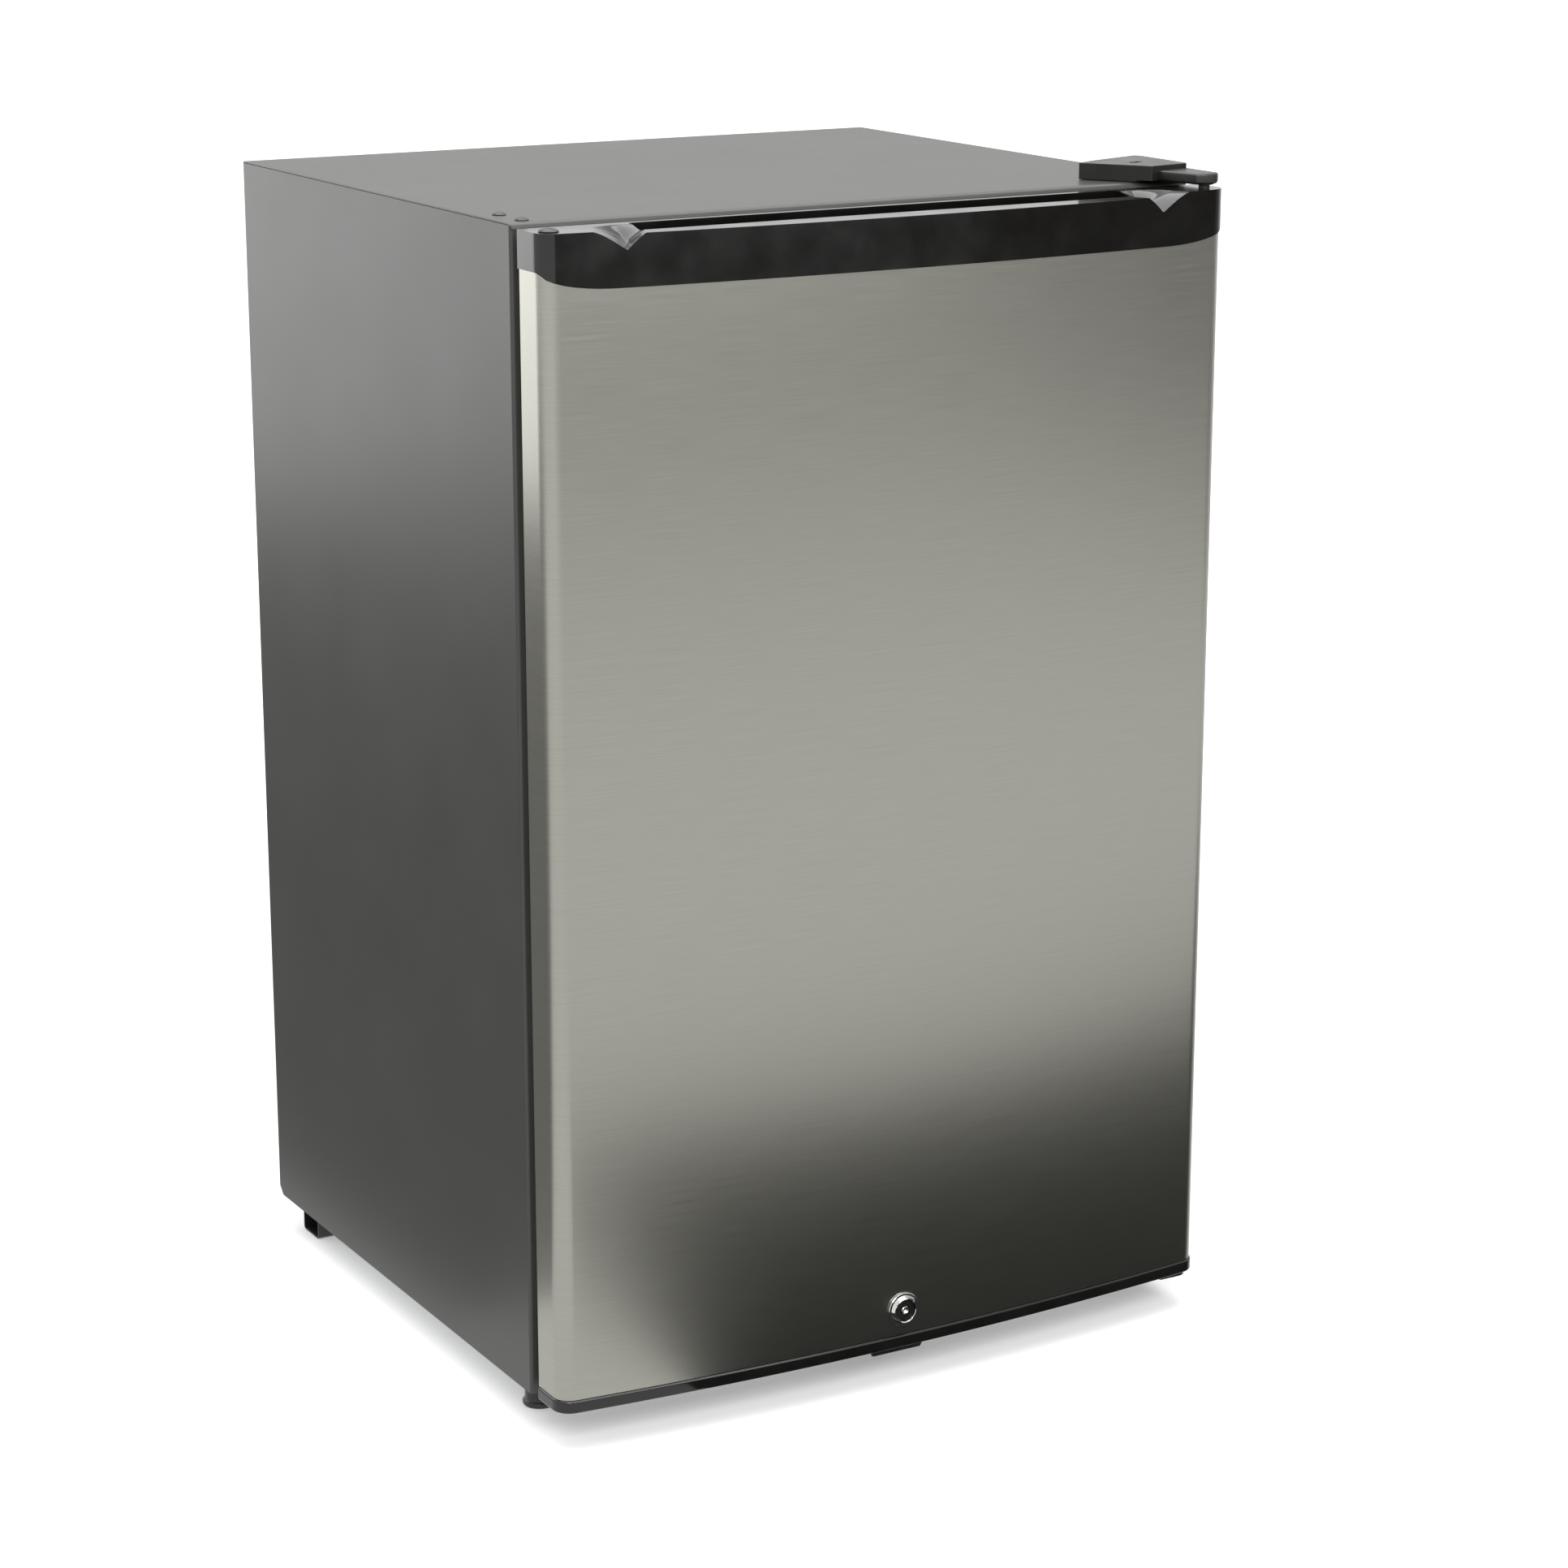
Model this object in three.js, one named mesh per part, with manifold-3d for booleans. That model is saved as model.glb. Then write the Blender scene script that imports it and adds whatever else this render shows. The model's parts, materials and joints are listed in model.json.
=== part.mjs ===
// Compact refrigerator with a bowed stainless door, a black handle cap and a keyed door lock.
// Millimetres, +Z up. X runs to the right and Y to the back, as someone facing the door sees it.
// Inside this file Y = 0 is the cabinet's front face, and the last lines centre the whole object.
import * as THREE from "three";
import { mergeVertices } from "three/addons/utils/BufferGeometryUtils.js";
import Module from "manifold-3d";

const wasm = await Module();
wasm.setup();

// ---------------------------------------------------------------- driving dimensions

// Cabinet
const cabinetWidth = 510;
const cabinetDepth = 432;
const cabinetHeight = 778;
const floorClearance = 25;
const sheet = 1; // steel sheet of every panel
const fit = 0.3; // clearance between pieces that touch
const flangeWidth = 28; // front frame that the gasket closes on
const railHeight = 34; // lower rail of that frame
const rearReturn = 16; // side panels' fold at the back
const rearCornerCut = 8; // cut at the side panels' lower rear corner
const seam = 0.5; // top panel's step in from the side panels

// Insulated compartment
const sideWall = 38;
const topWall = 42;
const backWall = 48;
const floorWall = 42;
const stepWall = 30; // between the compressor space and the compartment
const stepRoof = 38; // the same wall over that space
const linerSkin = 2;
const machineDepth = 170; // compressor space
const machineHeight = 186;

// Shelves and drawer
const shelfFront = 98;
const glassThickness = 4;
const glassSideGap = 1.2;
const ribDepth = 6; // shelf ledges moulded into the liner
const ribThickness = 4;
const ribStart = 118;
const ribLevels = 5;
const ribFoot = 0.9; // lowest ledge above the step, in pitches
const ribHead = 0.8; // room above the highest ledge, in pitches
const lowerShelf = 1; // ledges that the shelves lie on, counted from the lowest
const upperShelf = 3;
const trimDepth = 14;
const trimWall = 2.4;
const crisperWall = 2.5;
const crisperSideGap = 17;
const crisperGap = 4; // behind the drawer
const crisperSetback = 2; // drawer's front behind the shelves' front
const crisperTopGap = 12;
const crisperGrip = 11;
const crisperGripDrop = 16;

// Controls under the compartment's ceiling
const housingFront = 120;
const housingBack = 230;
const housingDrop = 34;
const housingX = [20, 110];
const knobRadius = 14;
const knobDepth = 13;
const lensLength = 80;
const lensInset = 10; // lens shorter than the housing at each end
const lensRise = 4; // lens shallower than the housing
const lensWall = 1.6;
const switchInset = 67; // from the compartment's wall
const switchFront = 42;
const switchHalf = 9;
const switchSlot = 3;
const switchDepth = 28;
const plungerGap = 0.5;
const plungerReach = 16; // plunger's end behind the switch's front
const plungerTravel = 4;

// Door
const doorGap = 12; // cabinet front to door back
const doorSide = 21; // flat part of the door's side
const doorCorner = 12;
const doorDepth = 46; // at the crown of the bowed front
const doorDrop = 2; // door top under the cabinet top
const doorLift = 1.5; // door bottom above the cabinet bottom
const doorReturn = 9; // skin's fold behind the door
const trimHeight = 9;
const trimShell = 2.5;
const capProud = 1.2; // cap and trim stand out from the skin
const capSideDepth = 24; // cap's height on the door's side
const capFrontDepth = 35; // cap's height in the middle
const capCurve = 50; // length over which its lower edge curves down
const channelEnd = 50; // finger channel behind the handle lip, from the door's side
const channelFront = 38;
const channelBack = 17;
const channelDepth = 27;
const lipDrop = 2;
const scoopEnd = 51; // thumb scoops at the ends of the lip, from the door's side
const scoopSetback = 6; // behind the crown
const scoopRadius = 34;
const scoopDepth = 14;
const scoopRise = 6;
const gasketInset = 12;
const gasketWidth = 12;
const doorLinerInset = 9;
const ridgeGap = 9; // ridge that reaches into the compartment, from its walls
const ridgeWidth = 12;
const ridgeReach = 26;
const ridgeBottomGap = 11;
const ridgeTopGap = 9;
const binDepth = 97;
const binLevels = [0.025, 0.39, 0.705]; // bins' places, as shares of the height over the step
const binHeights = [0.195, 0.137, 0.137];
const binWall = 2.5;
const binLean = 5;
const binLedge = 6;
const binGap = 0.5;

// Hinges
const hingeInset = 10; // pin from the door's side
const pinRadius = 3.7;
const pinDepth = 14;
const hingePlate = 3;
const coverHeight = 11.5;
const coverArmDrop = 3.3;
const coverArmLift = 1.2;
const coverWall = 1.6;
const screwInset = 14.5;
const screwFront = 13;
const screwPitch = 32;
const screwRadius = 2;
const coverInset = 2.5; // from the cabinet's side

// Lock
const lockHeight = 29; // above the cabinet's bottom
const lockRing = 12;
const lockRingProud = 3.7;
const lockBarrel = 7.5;
const tongueLength = 33;
const tongueWidth = 12;
const tongueThickness = 2;
const strikeLip = 5;
const strikeTaper = 3; // its lip's ends lean in by this much
const strikeBack = 42; // its end under the cabinet
const strikeHalf = 22;
const strikeRoot = 30; // half its width at the cabinet
const strikeSetback = 8; // its lip behind the door's crown
const tongueSetback = 20; // tongue behind the door's crown
const tongueGap = 3; // space before and behind the tongue
const strikeSlot = 9; // slot's end left of the lock's axis

// Feet
const footInset = 24;
const footSetback = 36;
const footRadius = 12;
const footHeight = 21;
const footStem = 4;
const channelInset = 11; // rear foot channel
const rearFootDepth = 28;
const rearFootSetback = 20;
const rearFootWall = 1.5;

// Cooling machine
const compressorX = 105;
const compressorGap = 15; // before and behind the compressor
const compressorHeadroom = 44; // compressor space's height over the compressor's
const compressorRadius = machineDepth / 2 - compressorGap;
const compressorHeight = machineHeight - compressorHeadroom;
const shellWall = 3;
const relayDepth = 33;
const relayWidth = 40;
const relayHeight = 60;
const relayBelow = 47; // relay box's foot under the compressor's seam
const panHalfX = 66;
const panHalfY = 50;
const panHeight = 15;
const panWall = 2;
const grommetHeight = 12;
const grommetX = 62;
const grommetY = 42;
const platform = 1.5;
const platformSide = 20;
const platformRearGap = 10;
const machineSheet = 2; // platform's start behind the bulkhead
const drainSetback = 20; // drain hole in front of the compartment's back
const drainRadius = 6;
const drainWall = 1.5;
const drainPanGap = 9; // tube's end above the pan's foot
const tubeRadius = 2.5;
const glandX = -150; // supply cord's gland
const glandSetback = 26;
const glandRadius = 10;
const glandBore = 4;
const glandLength = 14;
const condenserStandoff = 14;
const condenserRuns = 9;
const condenserInset = 55; // from the cabinet's sides
const condenserFoot = 40; // above the compressor space
const condenserHead = 72; // below the cabinet's top
const condenserWires = 10;
const wireSize = 1.6;

// ---------------------------------------------------------------- levels and planes

const half = cabinetWidth / 2;
const bottom = floorClearance;
const top = bottom + cabinetHeight;
const flangeInner = half - flangeWidth;
const panelInner = half - sheet - fit;
const backPanelY = cabinetDepth - sheet - fit;
const machineFront = cabinetDepth - machineDepth;
const machineTop = bottom + machineHeight;
const roomHalf = half - sideWall;
const roomTop = top - topWall;
const roomFloor = bottom + floorWall;
const roomBack = cabinetDepth - backWall;
const stepFront = machineFront - stepWall;
const stepTop = machineTop + stepRoof;
const roomRise = roomTop - stepTop;

const doorHalf = half;
const channelHalf = doorHalf - channelEnd;
const scoopReach = doorHalf - scoopEnd;
const doorBack = -doorGap;
const doorCrown = -(doorGap + doorDepth);
const doorTop = top - doorDrop;
const doorBottom = bottom + doorLift;
const trimTop = doorBottom + trimHeight;
const capLowSide = doorTop - capSideDepth;
const capLowFront = doorTop - capFrontDepth;
const doorLinerY = doorBack + fit;
const doorLinerHalf = doorHalf - doorLinerInset;
const ridgeHalf = roomHalf - ridgeGap;
const gasketBack = doorLinerY + linerSkin + fit;
const pinX = doorHalf - hingeInset;
const pinY = -(doorGap + doorSide);
const lockZ = bottom + lockHeight;
const tongueY = doorCrown + tongueSetback;
const tongueSpace = [tongueY - tongueGap, tongueY + tongueThickness + tongueGap];
const compressorY = machineFront + machineDepth / 2 - machineSheet;
const condenserY = cabinetDepth + condenserStandoff;

// ---------------------------------------------------------------- making solids

// A closed geometry as a manifold solid, turned so that its faces point outwards.
function solid(geometry) {
  const bare = geometry.index ? geometry.toNonIndexed() : geometry.clone();
  bare.deleteAttribute("normal");
  bare.deleteAttribute("uv");
  const merged = mergeVertices(bare, 1e-4);
  const triVerts = Uint32Array.from(merged.index.array);
  const vertProperties = merged.attributes.position.array;
  const build = () => new wasm.Manifold(new wasm.Mesh({ numProp: 3, vertProperties, triVerts }));
  const made = build();
  if (made.volume() > 0) return made;
  for (let i = 0; i < triVerts.length; i += 3) triVerts.subarray(i, i + 2).reverse();
  return build();
}

// The other way round, for a mesh.
function geometryOf(made) {
  const mesh = made.getMesh();
  const geometry = new THREE.BufferGeometry();
  geometry.setAttribute("position", new THREE.BufferAttribute(mesh.vertProperties, 3));
  geometry.setIndex(new THREE.BufferAttribute(mesh.triVerts, 1));
  const facets = geometry.toNonIndexed();
  facets.computeVertexNormals();
  return facets;
}

const join = (...pieces) => pieces.reduce((whole, piece) => whole.add(piece));
const cut = (whole, ...tools) => tools.reduce((left, tool) => left.subtract(tool), whole);

function box([x0, x1], [y0, y1], [z0, z1]) {
  const block = new THREE.BoxGeometry(x1 - x0, y1 - y0, z1 - z0);
  return solid(block.translate((x0 + x1) / 2, (y0 + y1) / 2, (z0 + z1) / 2));
}

function extruded(outline, length) {
  const shape = new THREE.Shape(outline.map(([u, v]) => new THREE.Vector2(u, v)));
  return new THREE.ExtrudeGeometry(shape, { depth: length, bevelEnabled: false });
}

const axisX = new THREE.Vector3(1, 0, 0);
const axisY = new THREE.Vector3(0, 1, 0);
const axisZ = new THREE.Vector3(0, 0, 1);
const layOnYZ = new THREE.Matrix4().makeBasis(axisY, axisZ, axisX);
const layOnXZ = new THREE.Matrix4().makeBasis(axisX, axisZ, axisY.clone().negate());

// Outlines of [x, y] along Z, of [y, z] along X and of [x, z] along Y.
const alongZ = (outline, [z0, z1]) => solid(extruded(outline, z1 - z0).translate(0, 0, z0));
function alongX(outline, [x0, x1]) {
  return solid(extruded(outline, x1 - x0).applyMatrix4(layOnYZ).translate(x0, 0, 0));
}
function alongY(outline, [y0, y1]) {
  return solid(extruded(outline, y1 - y0).applyMatrix4(layOnXZ).translate(0, y1, 0));
}

// A turned piece from [radius, height] points. Its axis is Z through x, y unless it is laid along Y.
function turned(profile, [x, y, z], segments = 20, layAlongY = false) {
  const points = profile.map(([r, h]) => new THREE.Vector2(r, h));
  if (profile[0][0] > 0) points.push(points[0].clone());
  const lathe = new THREE.LatheGeometry(points, segments);
  if (!layAlongY) lathe.rotateX(Math.PI / 2);
  return solid(lathe.translate(x, y, z));
}

const cylinderProfile = (radius, z0, z1) => [[0, z0], [radius, z0], [radius, z1], [0, z1]];

function post(x, y, radius, [z0, z1], segments = 16) {
  return turned(cylinderProfile(radius, z0, z1), [x, y, 0], segments);
}

// A path whose steps fall on its own points, for tubes with straight runs and tight bends.
class WirePath extends THREE.Curve {
  constructor(points) {
    super();
    this.points = points.map((p) => new THREE.Vector3(...p));
  }
  getPoint(t, target = new THREE.Vector3()) {
    const last = this.points.length - 1;
    const i = Math.min(Math.floor(t * last), last - 1);
    return target.lerpVectors(this.points[i], this.points[i + 1], t * last - i);
  }
  getTangent(t, target = new THREE.Vector3()) {
    const last = this.points.length - 1;
    const i = Math.round(t * last);
    const before = this.points[Math.max(i - 1, 0)];
    const after = this.points[Math.min(i + 1, last)];
    return target.subVectors(after, before).normalize();
  }
  getUtoTmapping(u) {
    return u;
  }
}

function tube(points, radius, sides) {
  const circle = Array.from({ length: sides }, (_, i) => {
    const angle = (2 * Math.PI * i) / sides;
    return new THREE.Vector2(radius * Math.cos(angle), radius * Math.sin(angle));
  });
  const extrudePath = new WirePath(points);
  const options = { steps: points.length - 1, extrudePath, bevelEnabled: false };
  return solid(new THREE.ExtrudeGeometry(new THREE.Shape(circle), options));
}

// Points of an arc round a centre, from one angle to another, in degrees.
function arc([u, v], radius, from, to, steps) {
  return Array.from({ length: steps + 1 }, (_, i) => {
    const angle = THREE.MathUtils.degToRad(from + ((to - from) * i) / steps);
    return [u + radius * Math.cos(angle), v + radius * Math.sin(angle)];
  });
}

// A convex outline moved in by a distance.
function inset(outline, distance) {
  const centre = [0, 1].map((k) => outline.reduce((sum, p) => sum + p[k], 0) / outline.length);
  const lines = outline.map((p, i) => {
    const q = outline[(i + 1) % outline.length];
    const length = Math.hypot(q[0] - p[0], q[1] - p[1]);
    let normal = [(q[1] - p[1]) / length, (p[0] - q[0]) / length];
    const side = normal[0] * (centre[0] - p[0]) + normal[1] * (centre[1] - p[1]);
    if (side < 0) normal = [-normal[0], -normal[1]];
    return [...normal, normal[0] * p[0] + normal[1] * p[1] + distance];
  });
  return lines.map(([a, b, c], i) => {
    const [d, e, f] = lines[(i + lines.length - 1) % lines.length];
    const det = a * e - b * d;
    return [(c * e - b * f) / det, (a * f - c * d) / det];
  });
}

// ---------------------------------------------------------------- materials

function finish(color, roughness, metalness = 0, opacity = 1) {
  return { color, roughness, metalness, opacity, transparent: opacity < 1 };
}
const paintedSteel = finish(0x4d4f4c, 0.45, 0.3);
const blackSteel = finish(0x1d1d1c, 0.5, 0.3);
const stainless = finish(0xa3a196, 0.32, 0.95);
const glossBlack = finish(0x161514, 0.15);
const satinBlack = finish(0x23211f, 0.5);
const chrome = finish(0xd9d9d9, 0.08, 1);
const zincSteel = finish(0xa9abab, 0.35, 0.9);
const whiteLiner = finish(0xeceae4, 0.4);
const foamYellow = finish(0xd9c987, 0.9);
const gasketBlack = finish(0x17181a, 0.7);
const clearGlass = finish(0xcfe3dc, 0.05, 0, 0.4);
const clearPlastic = finish(0xe4eef0, 0.15, 0, 0.5);
const rubberBlack = finish(0x1b1b1b, 0.85);
const copper = finish(0xb5683c, 0.3, 0.9);

function piece(group, name, made, look, position = [0, 0, 0]) {
  const mesh = new THREE.Mesh(geometryOf(made), new THREE.MeshStandardMaterial(look));
  mesh.name = name;
  mesh.position.set(...position);
  group.add(mesh);
}

const fridge = new THREE.Group();
const cabinet = new THREE.Group();
const machine = new THREE.Group();
const interior = new THREE.Group();
const door = new THREE.Group();
const lock = new THREE.Group();
lock.position.set(0, 0, lockZ);
door.add(lock);
fridge.add(cabinet, machine, interior, door);

// ---------------------------------------------------------------- cabinet shell

const screwX = half - screwInset;
const screwRows = [screwFront, screwFront + screwPitch];
const footX = half - footInset;
const throughTop = [top - 25, top + 5];

function sidePanel(side) {
  const section = [
    [half, 0],
    [flangeInner, 0],
    [flangeInner, sheet],
    [half - sheet, sheet],
    [half - sheet, cabinetDepth - sheet],
    [half - rearReturn, cabinetDepth - sheet],
    [half - rearReturn, cabinetDepth],
    [half, cabinetDepth],
  ].map(([x, y]) => [side * x, y]);
  const corner = [
    [cabinetDepth - rearCornerCut, bottom],
    [cabinetDepth, bottom + rearCornerCut],
    [cabinetDepth + sheet, bottom - sheet],
  ];
  const whole = alongZ(section, [bottom, top - sheet - fit]);
  return cut(whole, alongX(corner, [-half - sheet, half + sheet]));
}
piece(cabinet, "side_panel_left", sidePanel(-1), paintedSteel);
piece(cabinet, "side_panel_right", sidePanel(1), paintedSteel);

const lipHalf = flangeInner - fit;
const topSheet = join(
  box([-half + seam, half - seam], [0, cabinetDepth], [top - sheet, top]),
  box([-lipHalf, lipHalf], [0, sheet], [top - flangeWidth, top]),
  box([-half + rearReturn + fit, half - rearReturn - fit], [cabinetDepth - sheet, cabinetDepth],
    [top - rearReturn, top]),
);
const topHoles = [-1, 1].flatMap((side) =>
  screwRows.map((y) => post(side * screwX, y, screwRadius + fit + (side < 0 ? 1 : 0), throughTop, 12)),
);
piece(cabinet, "top_panel", cut(topSheet, ...topHoles), paintedSteel);

piece(cabinet, "back_panel", box([-panelInner, panelInner], [backPanelY - sheet, backPanelY],
  [machineTop + fit, top - sheet - fit]), blackSteel);

const drainY = roomBack - drainSetback;
const drainHole = post(compressorX, drainY, drainRadius + fit, [machineTop - 20, stepTop + 5], 12);
const bulkheadSection = [
  [machineFront - sheet, bottom + sheet + fit],
  [machineFront, bottom + sheet + fit],
  [machineFront, machineTop - sheet],
  [backPanelY, machineTop - sheet],
  [backPanelY, machineTop],
  [machineFront - sheet, machineTop],
];
piece(cabinet, "machine_bulkhead", cut(alongX(bulkheadSection, [-panelInner, panelInner]), drainHole),
  zincSteel);

const stemHoles = [-footX, footX].map((x) => post(x, footSetback, footStem + 1, [0, bottom + 15], 12));
piece(cabinet, "bottom_panel", cut(box([-panelInner, panelInner], [sheet + fit, machineFront],
  [bottom, bottom + sheet]), ...stemHoles), zincSteel);

piece(cabinet, "front_rail", box([-lipHalf, lipHalf], [0, sheet], [bottom, bottom + railHeight]),
  blackSteel);

// Liner: a stepped tray that opens to the front, with a lip inside the flange and ledges for shelves.
function roomOutline(grow, front) {
  return [
    [front, roomFloor - grow],
    [stepFront + grow, roomFloor - grow],
    [stepFront + grow, stepTop - grow],
    [roomBack + grow, stepTop - grow],
    [roomBack + grow, roomTop + grow],
    [front, roomTop + grow],
  ];
}
const roomTool = (grow, front) => alongX(roomOutline(grow, front), [-roomHalf - grow, roomHalf + grow]);
const linerLip = (grow) => box([-lipHalf - grow, lipHalf + grow], [-grow, linerSkin + grow],
  [bottom + railHeight + fit - grow, top - flangeWidth - fit + grow]);
const ribPitch = roomRise / (ribLevels - 1 + ribFoot + ribHead);
const ribZ = Array.from({ length: ribLevels }, (_, i) => stepTop + (i + ribFoot) * ribPitch);
const ribs = [stepTop, ...ribZ].flatMap((z) => [-1, 1].map((side) => {
  const inner = side * (roomHalf - ribDepth);
  const outer = side * (roomHalf + linerSkin / 2);
  const reach = [Math.min(inner, outer), Math.max(inner, outer)];
  const end = (z > stepTop ? roomBack : stepFront) + linerSkin / 2;
  return box(reach, [ribStart, end], [z - ribThickness, z]);
}));
const linerShell = cut(join(roomTool(linerSkin, 0), linerLip(0)), roomTool(0, -sheet));
piece(cabinet, "inner_liner", cut(join(linerShell, ...ribs), drainHole), whiteLiner);

const foamBlock = box([-panelInner, panelInner], [sheet + fit, backPanelY - sheet - fit],
  [bottom + sheet + fit, top - sheet - fit]);
const foamTools = [
  box([-half, half], [machineFront - sheet - fit, cabinetDepth], [0, machineTop + fit]),
  roomTool(linerSkin + fit, -sheet),
  linerLip(fit),
  drainHole,
  ...stemHoles,
  ...topHoles,
];
piece(cabinet, "foam_insulation", cut(foamBlock, ...foamTools), foamYellow);

// ---------------------------------------------------------------- shelves, drawer and controls

function shelfTrim(z) {
  const low = z + fit - trimWall;
  const high = z + fit + glassThickness + trimWall;
  const section = [
    [shelfFront, low],
    [shelfFront + trimDepth, low],
    [shelfFront + trimDepth, z],
    [shelfFront + trimWall, z],
    [shelfFront + trimWall, z + glassThickness + 2 * fit],
    [shelfFront + trimDepth, z + glassThickness + 2 * fit],
    [shelfFront + trimDepth, high],
    [shelfFront, high],
  ];
  return alongX(section, [-roomHalf + glassSideGap, roomHalf - glassSideGap]);
}

function shelfGlass(z) {
  return box([-roomHalf + glassSideGap, roomHalf - glassSideGap],
    [shelfFront + trimWall + fit, roomBack - glassSideGap], [z + fit, z + fit + glassThickness]);
}
const shelves = { shelf_upper: ribZ[upperShelf], shelf_lower: ribZ[lowerShelf], crisper_cover: stepTop };
for (const [name, z] of Object.entries(shelves)) {
  piece(interior, `${name}_glass`, shelfGlass(z), clearGlass);
  piece(interior, `${name}_trim`, shelfTrim(z), whiteLiner);
}

const crisperHalf = roomHalf - crisperSideGap;
const crisperBack = stepFront - crisperGap;
const crisperFront = shelfFront + crisperSetback;
const crisperTop = stepTop - crisperTopGap;
const crisperTray = cut(
  box([-crisperHalf, crisperHalf], [crisperFront, crisperBack], [roomFloor + fit, crisperTop]),
  box([-crisperHalf + crisperWall, crisperHalf - crisperWall],
    [crisperFront + crisperWall, crisperBack - crisperWall], [roomFloor + fit + crisperWall, top]),
);
const gripSection = [
  [crisperFront + 1, crisperTop],
  [crisperFront - crisperGrip, crisperTop],
  [crisperFront - crisperGrip, crisperTop - crisperGripDrop],
  [crisperFront - crisperGrip + crisperWall, crisperTop - crisperGripDrop],
  [crisperFront - crisperGrip + crisperWall, crisperTop - crisperWall],
  [crisperFront + 1, crisperTop - crisperWall],
];
piece(interior, "crisper_drawer", join(crisperTray, alongX(gripSection, [-crisperHalf, crisperHalf])),
  clearPlastic);

// Thermostat housing on the ceiling, with its knob in front and the lamp cover beside it.
const housingSection = [
  [housingFront, roomTop - fit],
  [housingBack, roomTop - fit],
  [housingBack, roomTop - housingDrop + 12],
  [housingBack - 20, roomTop - housingDrop],
  [housingFront, roomTop - housingDrop],
];
piece(interior, "thermostat_housing", alongX(housingSection, housingX), whiteLiner);

const knob = join(
  turned([[0, 0], [knobRadius, 0], [knobRadius, -knobDepth + 5], [knobRadius - 2, -knobDepth + 3],
    [0, -knobDepth + 3]], [0, 0, 0], 24, true),
  box([-2, 2], [-knobDepth, -1], [-knobRadius + 3, knobRadius - 3]),
);
piece(interior, "thermostat_knob", knob, whiteLiner,
  [(housingX[0] + housingX[1]) / 2, housingFront - fit, roomTop - housingDrop / 2]);

const lensX = [housingX[0] - fit - lensLength, housingX[0] - fit];
const lensY = [housingFront + lensInset, housingBack - lensInset];
const lensZ = roomTop - housingDrop + lensRise;
const lens = cut(
  box(lensX, lensY, [lensZ, roomTop - fit]),
  box([lensX[0] + lensWall, lensX[1] + 1], [lensY[0] + lensWall, lensY[1] - lensWall],
    [lensZ + lensWall, roomTop]),
);
piece(interior, "lamp_cover", lens, clearPlastic);

// Door switch: the door's ridge holds its plunger in.
const switchX = roomHalf - switchInset;
const switchZ = roomTop - ridgeTopGap - ridgeWidth / 2;
const slotEnd = switchFront + plungerReach + plungerTravel;
piece(interior, "door_switch_body", cut(
  box([switchX - switchHalf, switchX + switchHalf], [switchFront, switchFront + switchDepth],
    [switchZ - switchHalf, roomTop - fit]),
  box([switchX - switchSlot, switchX + switchSlot], [switchFront - 1, slotEnd],
    [switchZ - switchSlot, switchZ + switchSlot]),
), whiteLiner);
const plungerHalf = switchSlot - plungerGap;
piece(interior, "door_switch_plunger", box([-plungerHalf, plungerHalf],
  [ridgeReach + plungerGap, switchFront + plungerReach], [-plungerHalf, plungerHalf]), whiteLiner,
[switchX, 0, switchZ]);

// ---------------------------------------------------------------- cooling machine

const platformTop = bottom + platform;
const platformY = [machineFront + machineSheet, cabinetDepth - platformRearGap];
piece(machine, "compressor_platform", join(
  box([-panelInner, panelInner], platformY, [bottom, platformTop]),
  box([-panelInner, -panelInner + platform], platformY, [bottom, bottom + platformSide]),
  box([panelInner - platform, panelInner], platformY, [bottom, bottom + platformSide]),
), zincSteel);

const grommetBase = platformTop + fit;
const grommetTop = grommetBase + grommetHeight;
const grommetProfile = [[0, 0], [11, 0], [11, 3], [8, 5], [8, 8], [10, grommetHeight], [0, grommetHeight]];
for (const [row, dy] of [["front", -grommetY], ["rear", grommetY]]) {
  for (const [side, dx] of [["left", -grommetX], ["right", grommetX]]) {
    piece(machine, `compressor_grommet_${row}_${side}`, turned(grommetProfile, [0, 0, 0], 12),
      rubberBlack, [compressorX + dx, compressorY + dy, grommetBase]);
  }
}

// The compressor's welded can, in the halves it is drawn from, round the motor and pump block.
const canBase = grommetTop + fit;
const canSplit = canBase + compressorHeight * 0.5;
const canTop = canBase + compressorHeight;
const canX = [compressorX, compressorY, 0];
const canR = compressorRadius;
const canW = shellWall;
piece(machine, "compressor_base", join(
  turned([
    [0, canBase + 1], [canR - 20, canBase + 1], [canR - 4, canBase + 12], [canR, canBase + 26],
    [canR, canSplit], [canR - canW, canSplit], [canR - canW, canBase + 27],
    [canR - 4 - canW, canBase + 14], [canR - 21, canBase + 1 + canW], [0, canBase + 1 + canW],
  ], canX, 24),
  box([compressorX - grommetX - 12, compressorX + grommetX + 12],
    [compressorY - grommetY - 10, compressorY + grommetY + 10], [canBase, canBase + 3]),
), blackSteel);
piece(machine, "compressor_dome", turned([
  [0, canTop - canW], [canR - 31, canTop - canW], [canR - 13, canTop - 13], [canR - canW, canTop - 34],
  [canR - canW, canSplit + fit], [canR, canSplit + fit], [canR, canTop - 33], [canR - 10, canTop - 11],
  [canR - 30, canTop], [0, canTop],
], canX, 24), blackSteel);
piece(machine, "compressor_motor", turned([
  [0, canBase + 1 + canW + fit], [canR - 28, canBase + 1 + canW + fit], [canR - 10, canBase + 20],
  [canR - 10, canTop - 36], [0, canTop - 36],
], canX, 16), zincSteel);

const relayX = compressorX - canR - fit;
const relayZ = canSplit - relayBelow;
const relayY = [compressorY - relayWidth / 2, compressorY + relayWidth / 2];
const relayHeights = [relayZ, relayZ + relayHeight];
piece(machine, "start_relay_box", box([relayX - relayDepth, relayX], relayY, relayHeights), satinBlack);

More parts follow.
